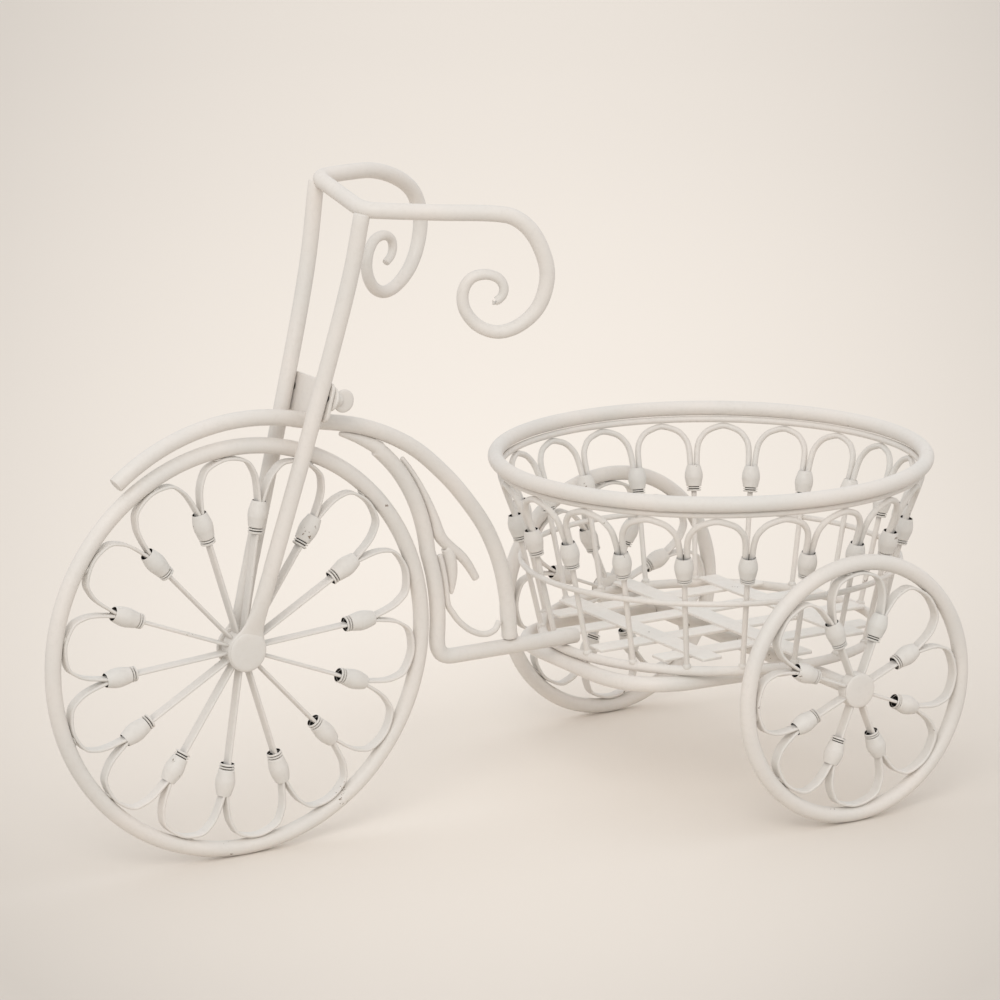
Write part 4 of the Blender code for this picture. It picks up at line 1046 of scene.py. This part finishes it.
def basket():
    dress(hoop("basket_rim_bar", RIM_RADIUS, TUBE_R, RIM_HEIGHT, 3.9, 24), "stand", BAR_PAINT,
          "basket_rim")
    inset = 2 * MM
    ring_height = RIM_HEIGHT - math.sqrt((TUBE_R + RING_R + GAP) ** 2 - inset ** 2)
    ring_radius = RIM_RADIUS - inset
    dress(hoop("basket_ring_bar", ring_radius, RING_R, ring_height, 4.6, 14), "stand", BAR_PAINT,
          "basket_upper_ring")

    mouth = CLIP_HEIGHT + CLIP_LENGTH / 2
    low = mouth - 2.2 * MM
    top = ring_height - RING_R - WIRE_R - GAP * 0.5
    side = (WIRE_R + 0.12 * MM) / wall_radius(mouth)
    pieces = []
    for i in range(BAYS):
        clip = bay_angle(i)
        half = (bay_angle(i + 1) - clip) / 2
        shares = [(side / half, (low - mouth) / (top - mouth)), (side / half * 1.02, 0.04), *ARCH]
        shares += [(2 - across, up) for across, up in shares[-2::-1]]
        points = []
        for across, up in shares:
            radius = wall_radius(mouth) + (ring_radius - wall_radius(mouth)) * up
            points.append(around(radius, clip + half * across, mouth + (top - mouth) * up))
        pieces.append(bar("arch", round_path(points, 4), WIRE_R, 12))
    arches = joined("basket_arch_wires", pieces)
    dress(arches, "stand", STRIP_PAINT, "basket_arches")

    pieces = [hoop("foot", FOOT_RING_RADIUS, FOOT_RING_R, FOOT_RING_HEIGHT, 4.1, 16)]
    pieces[0].data.materials.append(BAR_PAINT)
    radius = wall_radius(HOOP_HEIGHT) + WIRE_R + HOOP_R - 0.7 * MM
    pieces.append(hoop("thin", radius, HOOP_R, HOOP_HEIGHT, 4.9, 12))
    pieces[1].data.materials.append(BAR_PAINT)
    start = CLIP_HEIGHT - CLIP_LENGTH / 2
    long = math.hypot(start + 2 * MM - FOOT_RING_HEIGHT, wall_radius(start) - FOOT_RING_RADIUS)
    rod = bar("rib", [Vector(), Vector((long * 0.5, 0, 0)), Vector((long, 0, 0))], RIB_R, 14)
    rod.data.materials.append(BAR_PAINT)
    clip = settle(barrel_clip("rib_clip"), Matrix.Translation((long - 2 * MM, 0, 0)))
    foot = weld("rib_foot", (2.3 * MM, 2.4 * MM, 2.2 * MM), 3)
    settle(foot, Matrix.Translation((2.2 * MM, 0, 0)))
    model = joined("rib_model", [rod, clip, foot])
    for i in range(BAYS):
        pieces.append(copied(model, "rib_copy", upright(bay_angle(i), FOOT_RING_RADIUS, FOOT_RING_HEIGHT,
                                                        SLOPE)))
    bpy.data.objects.remove(model)
    dress(joined("basket_cage_ribs", pieces), "stand", BAR_PAINT, "basket_cage")
    slats()


def slat(name, long, wide, thick):
    """Flat bar with rounded edges and slightly rounded corners, lying along X."""
    plate = rounded_plate(name, long, -wide / 2, wide / 2, 0, thick, 1.2 * MM, 0.45 * MM)
    # Lighter paint: painted light against the shade inside the basket
    plate.data.materials.append(SLAT_PAINT_WITH_PAINTED_LIGHT)
    return plate


def slats():
    """Flat slats of the basket's floor: four along X, and three across on top."""
    low = FOOT_RING_HEIGHT + FOOT_RING_R + GAP
    end = FOOT_RING_RADIUS - WIRE_R - 0.5 * MM
    pieces = []
    for share in SLAT_SHARES:
        at = FOOT_RING_RADIUS * share
        long = math.sqrt(end ** 2 - (abs(at) + SLAT_WIDTH / 2) ** 2)
        piece = slat("slat", long, SLAT_WIDTH, SLAT_THICK)
        pieces.append(settle(piece, Matrix.Translation((BASKET_AXIS.x, at, low))))
    for share in CROSS_SLAT_SHARES:
        at = FOOT_RING_RADIUS * share
        long = math.sqrt(end ** 2 - (abs(at) + SLAT_WIDTH / 2) ** 2)
        piece = slat("cross", long, SLAT_WIDTH, SLAT_THICK)
        place = Matrix.Translation((BASKET_AXIS.x + at, 0, low + SLAT_THICK - SLAT_LAP))
        pieces.append(settle(piece, place @ Matrix.Rotation(math.radians(90), 4, "Z")))
    dress(joined("basket_floor_slats", pieces), "stand", SLAT_PAINT_WITH_PAINTED_LIGHT, "basket_floor")


def cradle():
    """Rail in a U under the foot ring, welded to the rear axle."""
    level = FOOT_RING_HEIGHT - FOOT_RING_R - GAP - TUBE_R
    front = BASKET_AXIS.x - FOOT_RING_RADIUS
    half = FOOT_RING_RADIUS * 0.743
    slope = BASKET_AXIS.x - math.sqrt(FOOT_RING_RADIUS ** 2 - half ** 2) + TUBE_R * 2
    bend = FOOT_RING_RADIUS * 0.48
    near = [Vector((REAR_AXLE.x - TUBE_R - GAP, half, REAR_AXLE.z))]
    if slope > front + bend:
        near.append(Vector((slope, half, level)))
    near += elbow(Vector((front, half, level)), Vector((front + bend, half, level)),
                  Vector((front, half - bend, level)), 12)
    points = near + [Vector((point.x, -point.y, point.z)) for point in near[::-1]]
    dress(cut_bar("cradle_rail", points, TUBE_R, 20), "stand", BAR_PAINT, "basket_cradle")


# Studio: a pale floor with painted shade that darkens it away from the middle, and soft light
VIEW_TURN = math.radians(30.761)
VIEW_DIP = math.radians(13.565)
VIEW_ROLL = math.radians(-0.379)
VIEW_ZOOM = 4.331
VIEW_HEIGHT = 0.6703
VIEW_SHIFT = (-0.0046, 2.11, 0)
AIR = 0.93
LAMPS = (
    ("key_softbox", (-3.0, -3.8, 3.8), (0, 0, 0.1), 3.4, 100, (1.0, 0.99, 0.975)),
)
FLOOR_COLOUR = (0.90, 0.83, 0.755, 1)
# How strongly the painted shade darkens the floor towards the sides, and the darkest share it leaves
EDGE_FALL = 0.64
DARKEST = 0.68


def painted_light_falloff(tree):
    """Painted pool of light on the backdrop: its tone falls off away from the middle of the photographed
    view.
    """
    place = tree.nodes.new("ShaderNodeMapping")
    place.inputs["Location"].default_value = VIEW_SHIFT
    place.inputs["Rotation"].default_value = (0, 0, VIEW_TURN)
    tree.links.new(tree.nodes["Place"].outputs["Object"], place.inputs["Vector"])
    apart = tree.nodes.new("ShaderNodeSeparateXYZ")
    tree.links.new(place.outputs["Vector"], apart.inputs["Vector"])
    x, y = apart.outputs["X"], apart.outputs["Y"]
    level, dip = math.cos(VIEW_DIP), math.sin(VIEW_DIP)
    far = worked(tree, "MULTIPLY_ADD", y, level, VIEW_HEIGHT * dip)
    across = worked(tree, "DIVIDE", worked(tree, "MULTIPLY", x, VIEW_ZOOM), far)
    rise = worked(tree, "MULTIPLY_ADD", y, VIEW_ZOOM * dip, -VIEW_ZOOM * VIEW_HEIGHT * level)
    rise = worked(tree, "DIVIDE", rise, far)
    aside = worked(tree, "MULTIPLY_ADD", worked(tree, "MULTIPLY", across, across), -EDGE_FALL, 1.0)
    share = worked(tree, "MULTIPLY_ADD", rise, 0.5, -0.5)
    tone = worked(tree, "MULTIPLY_ADD", worked(tree, "MULTIPLY", rise, rise), share, aside)
    return worked(tree, "MAXIMUM", tone, DARKEST)


def backdrop_material():
    material = bpy.data.materials.new("pale_backdrop")
    shader = shader_of(material)
    tree = material.node_tree
    tone = spread(tree, noise(tree, 1.2, 2), 0.3, 0.7)
    colour = mixed(tree, tone, FLOOR_COLOUR, [part * 0.99 for part in FLOOR_COLOUR[:3]] + [1])
    # Painted shade: the floor colour is darkened away from the middle
    colour = mixed(tree, painted_light_falloff(tree), (0, 0, 0, 1), colour)
    tree.links.new(colour, shader.inputs["Base Color"])
    shader.inputs["Roughness"].default_value = 0.9
    shader.inputs["Specular IOR Level"].default_value = 0.1
    return material


def studio():
    bpy.context.scene.view_settings.view_transform = "Standard"
    let_go()
    bpy.ops.mesh.primitive_plane_add(size=12)
    floor = made("studio_floor")
    floor.data.materials.append(backdrop_material())
    world = bpy.context.scene.world or bpy.data.worlds.new("studio_air")
    bpy.context.scene.world = world
    world.use_nodes = True
    back = world.node_tree.nodes["Background"]
    back.inputs["Color"].default_value = (1, 1, 1, 1)
    back.inputs["Strength"].default_value = AIR
    for name, place, target, size, power, tint in LAMPS:
        let_go()
        bpy.ops.object.light_add(type="AREA", location=place)
        lamp = bpy.context.object
        lamp.name = name
        lamp.data.name = name
        lamp.data.shape = "DISK"
        lamp.data.size = size
        lamp.data.energy = power
        lamp.data.color = tint
        lamp.rotation_euler = (Vector(place) - Vector(target)).to_track_quat("Z", "Y").to_euler()


def camera():
    """Camera placed as a fit to the photographed wheels and rim gives it."""
    a, e = VIEW_TURN, VIEW_DIP
    ahead = Vector((math.sin(a) * math.cos(e), math.cos(a) * math.cos(e), -math.sin(e)))
    level = Vector((math.cos(a), -math.sin(a), 0))
    right = level * math.cos(VIEW_ROLL) + level.cross(ahead) * math.sin(VIEW_ROLL)
    up = right.cross(ahead)
    place = (right * 136.445 + up * 189.749 - ahead * 2323.6) * 0.92 * MM + Vector((-142 * MM, 0, 0))
    let_go()
    bpy.ops.object.camera_add(location=place)
    eye = bpy.context.object
    eye.name = "photo_camera"
    turn = Matrix((right, up, -ahead)).transposed().to_4x4()
    eye.matrix_world = Matrix.Translation(place) @ turn
    eye.data.sensor_width = 36
    eye.data.lens = 155.91
    eye.data.clip_start = 0.05
    eye.data.clip_end = 60
    bpy.context.scene.camera = eye


wheel("front", "front_wheel", FRONT_AXLE,
      ("front_rim", "front_petal_band", "front_hub", "front_spoke"),
      (FRONT_RADIUS, FRONT_LOBES, FRONT_LOBE_DEPTH, FRONT_PHASE, FRONT_HUB_RADIUS, HUB_HALF,
       FRONT_CLIP_LENGTH), 11)
for side, end in ((-1, "left"), (1, "right")):
    wheel("rear_" + end, "rear_wheel_" + end, REAR_AXLE + Vector((0, side * TRACK / 2, 0)),
          ("rear_rim_" + end, "rear_petal_band_" + end, "rear_hub_" + end, "rear_spoke_" + end),
          (REAR_RADIUS, REAR_LOBES, REAR_LOBE_DEPTH, REAR_PHASE, REAR_HUB_RADIUS, REAR_HUB_HALF,
           CLIP_LENGTH), 21 + side)
fork_legs()
handlebar()
frame_bars()
crown()
axles()
basket()
cradle()
studio()
camera()
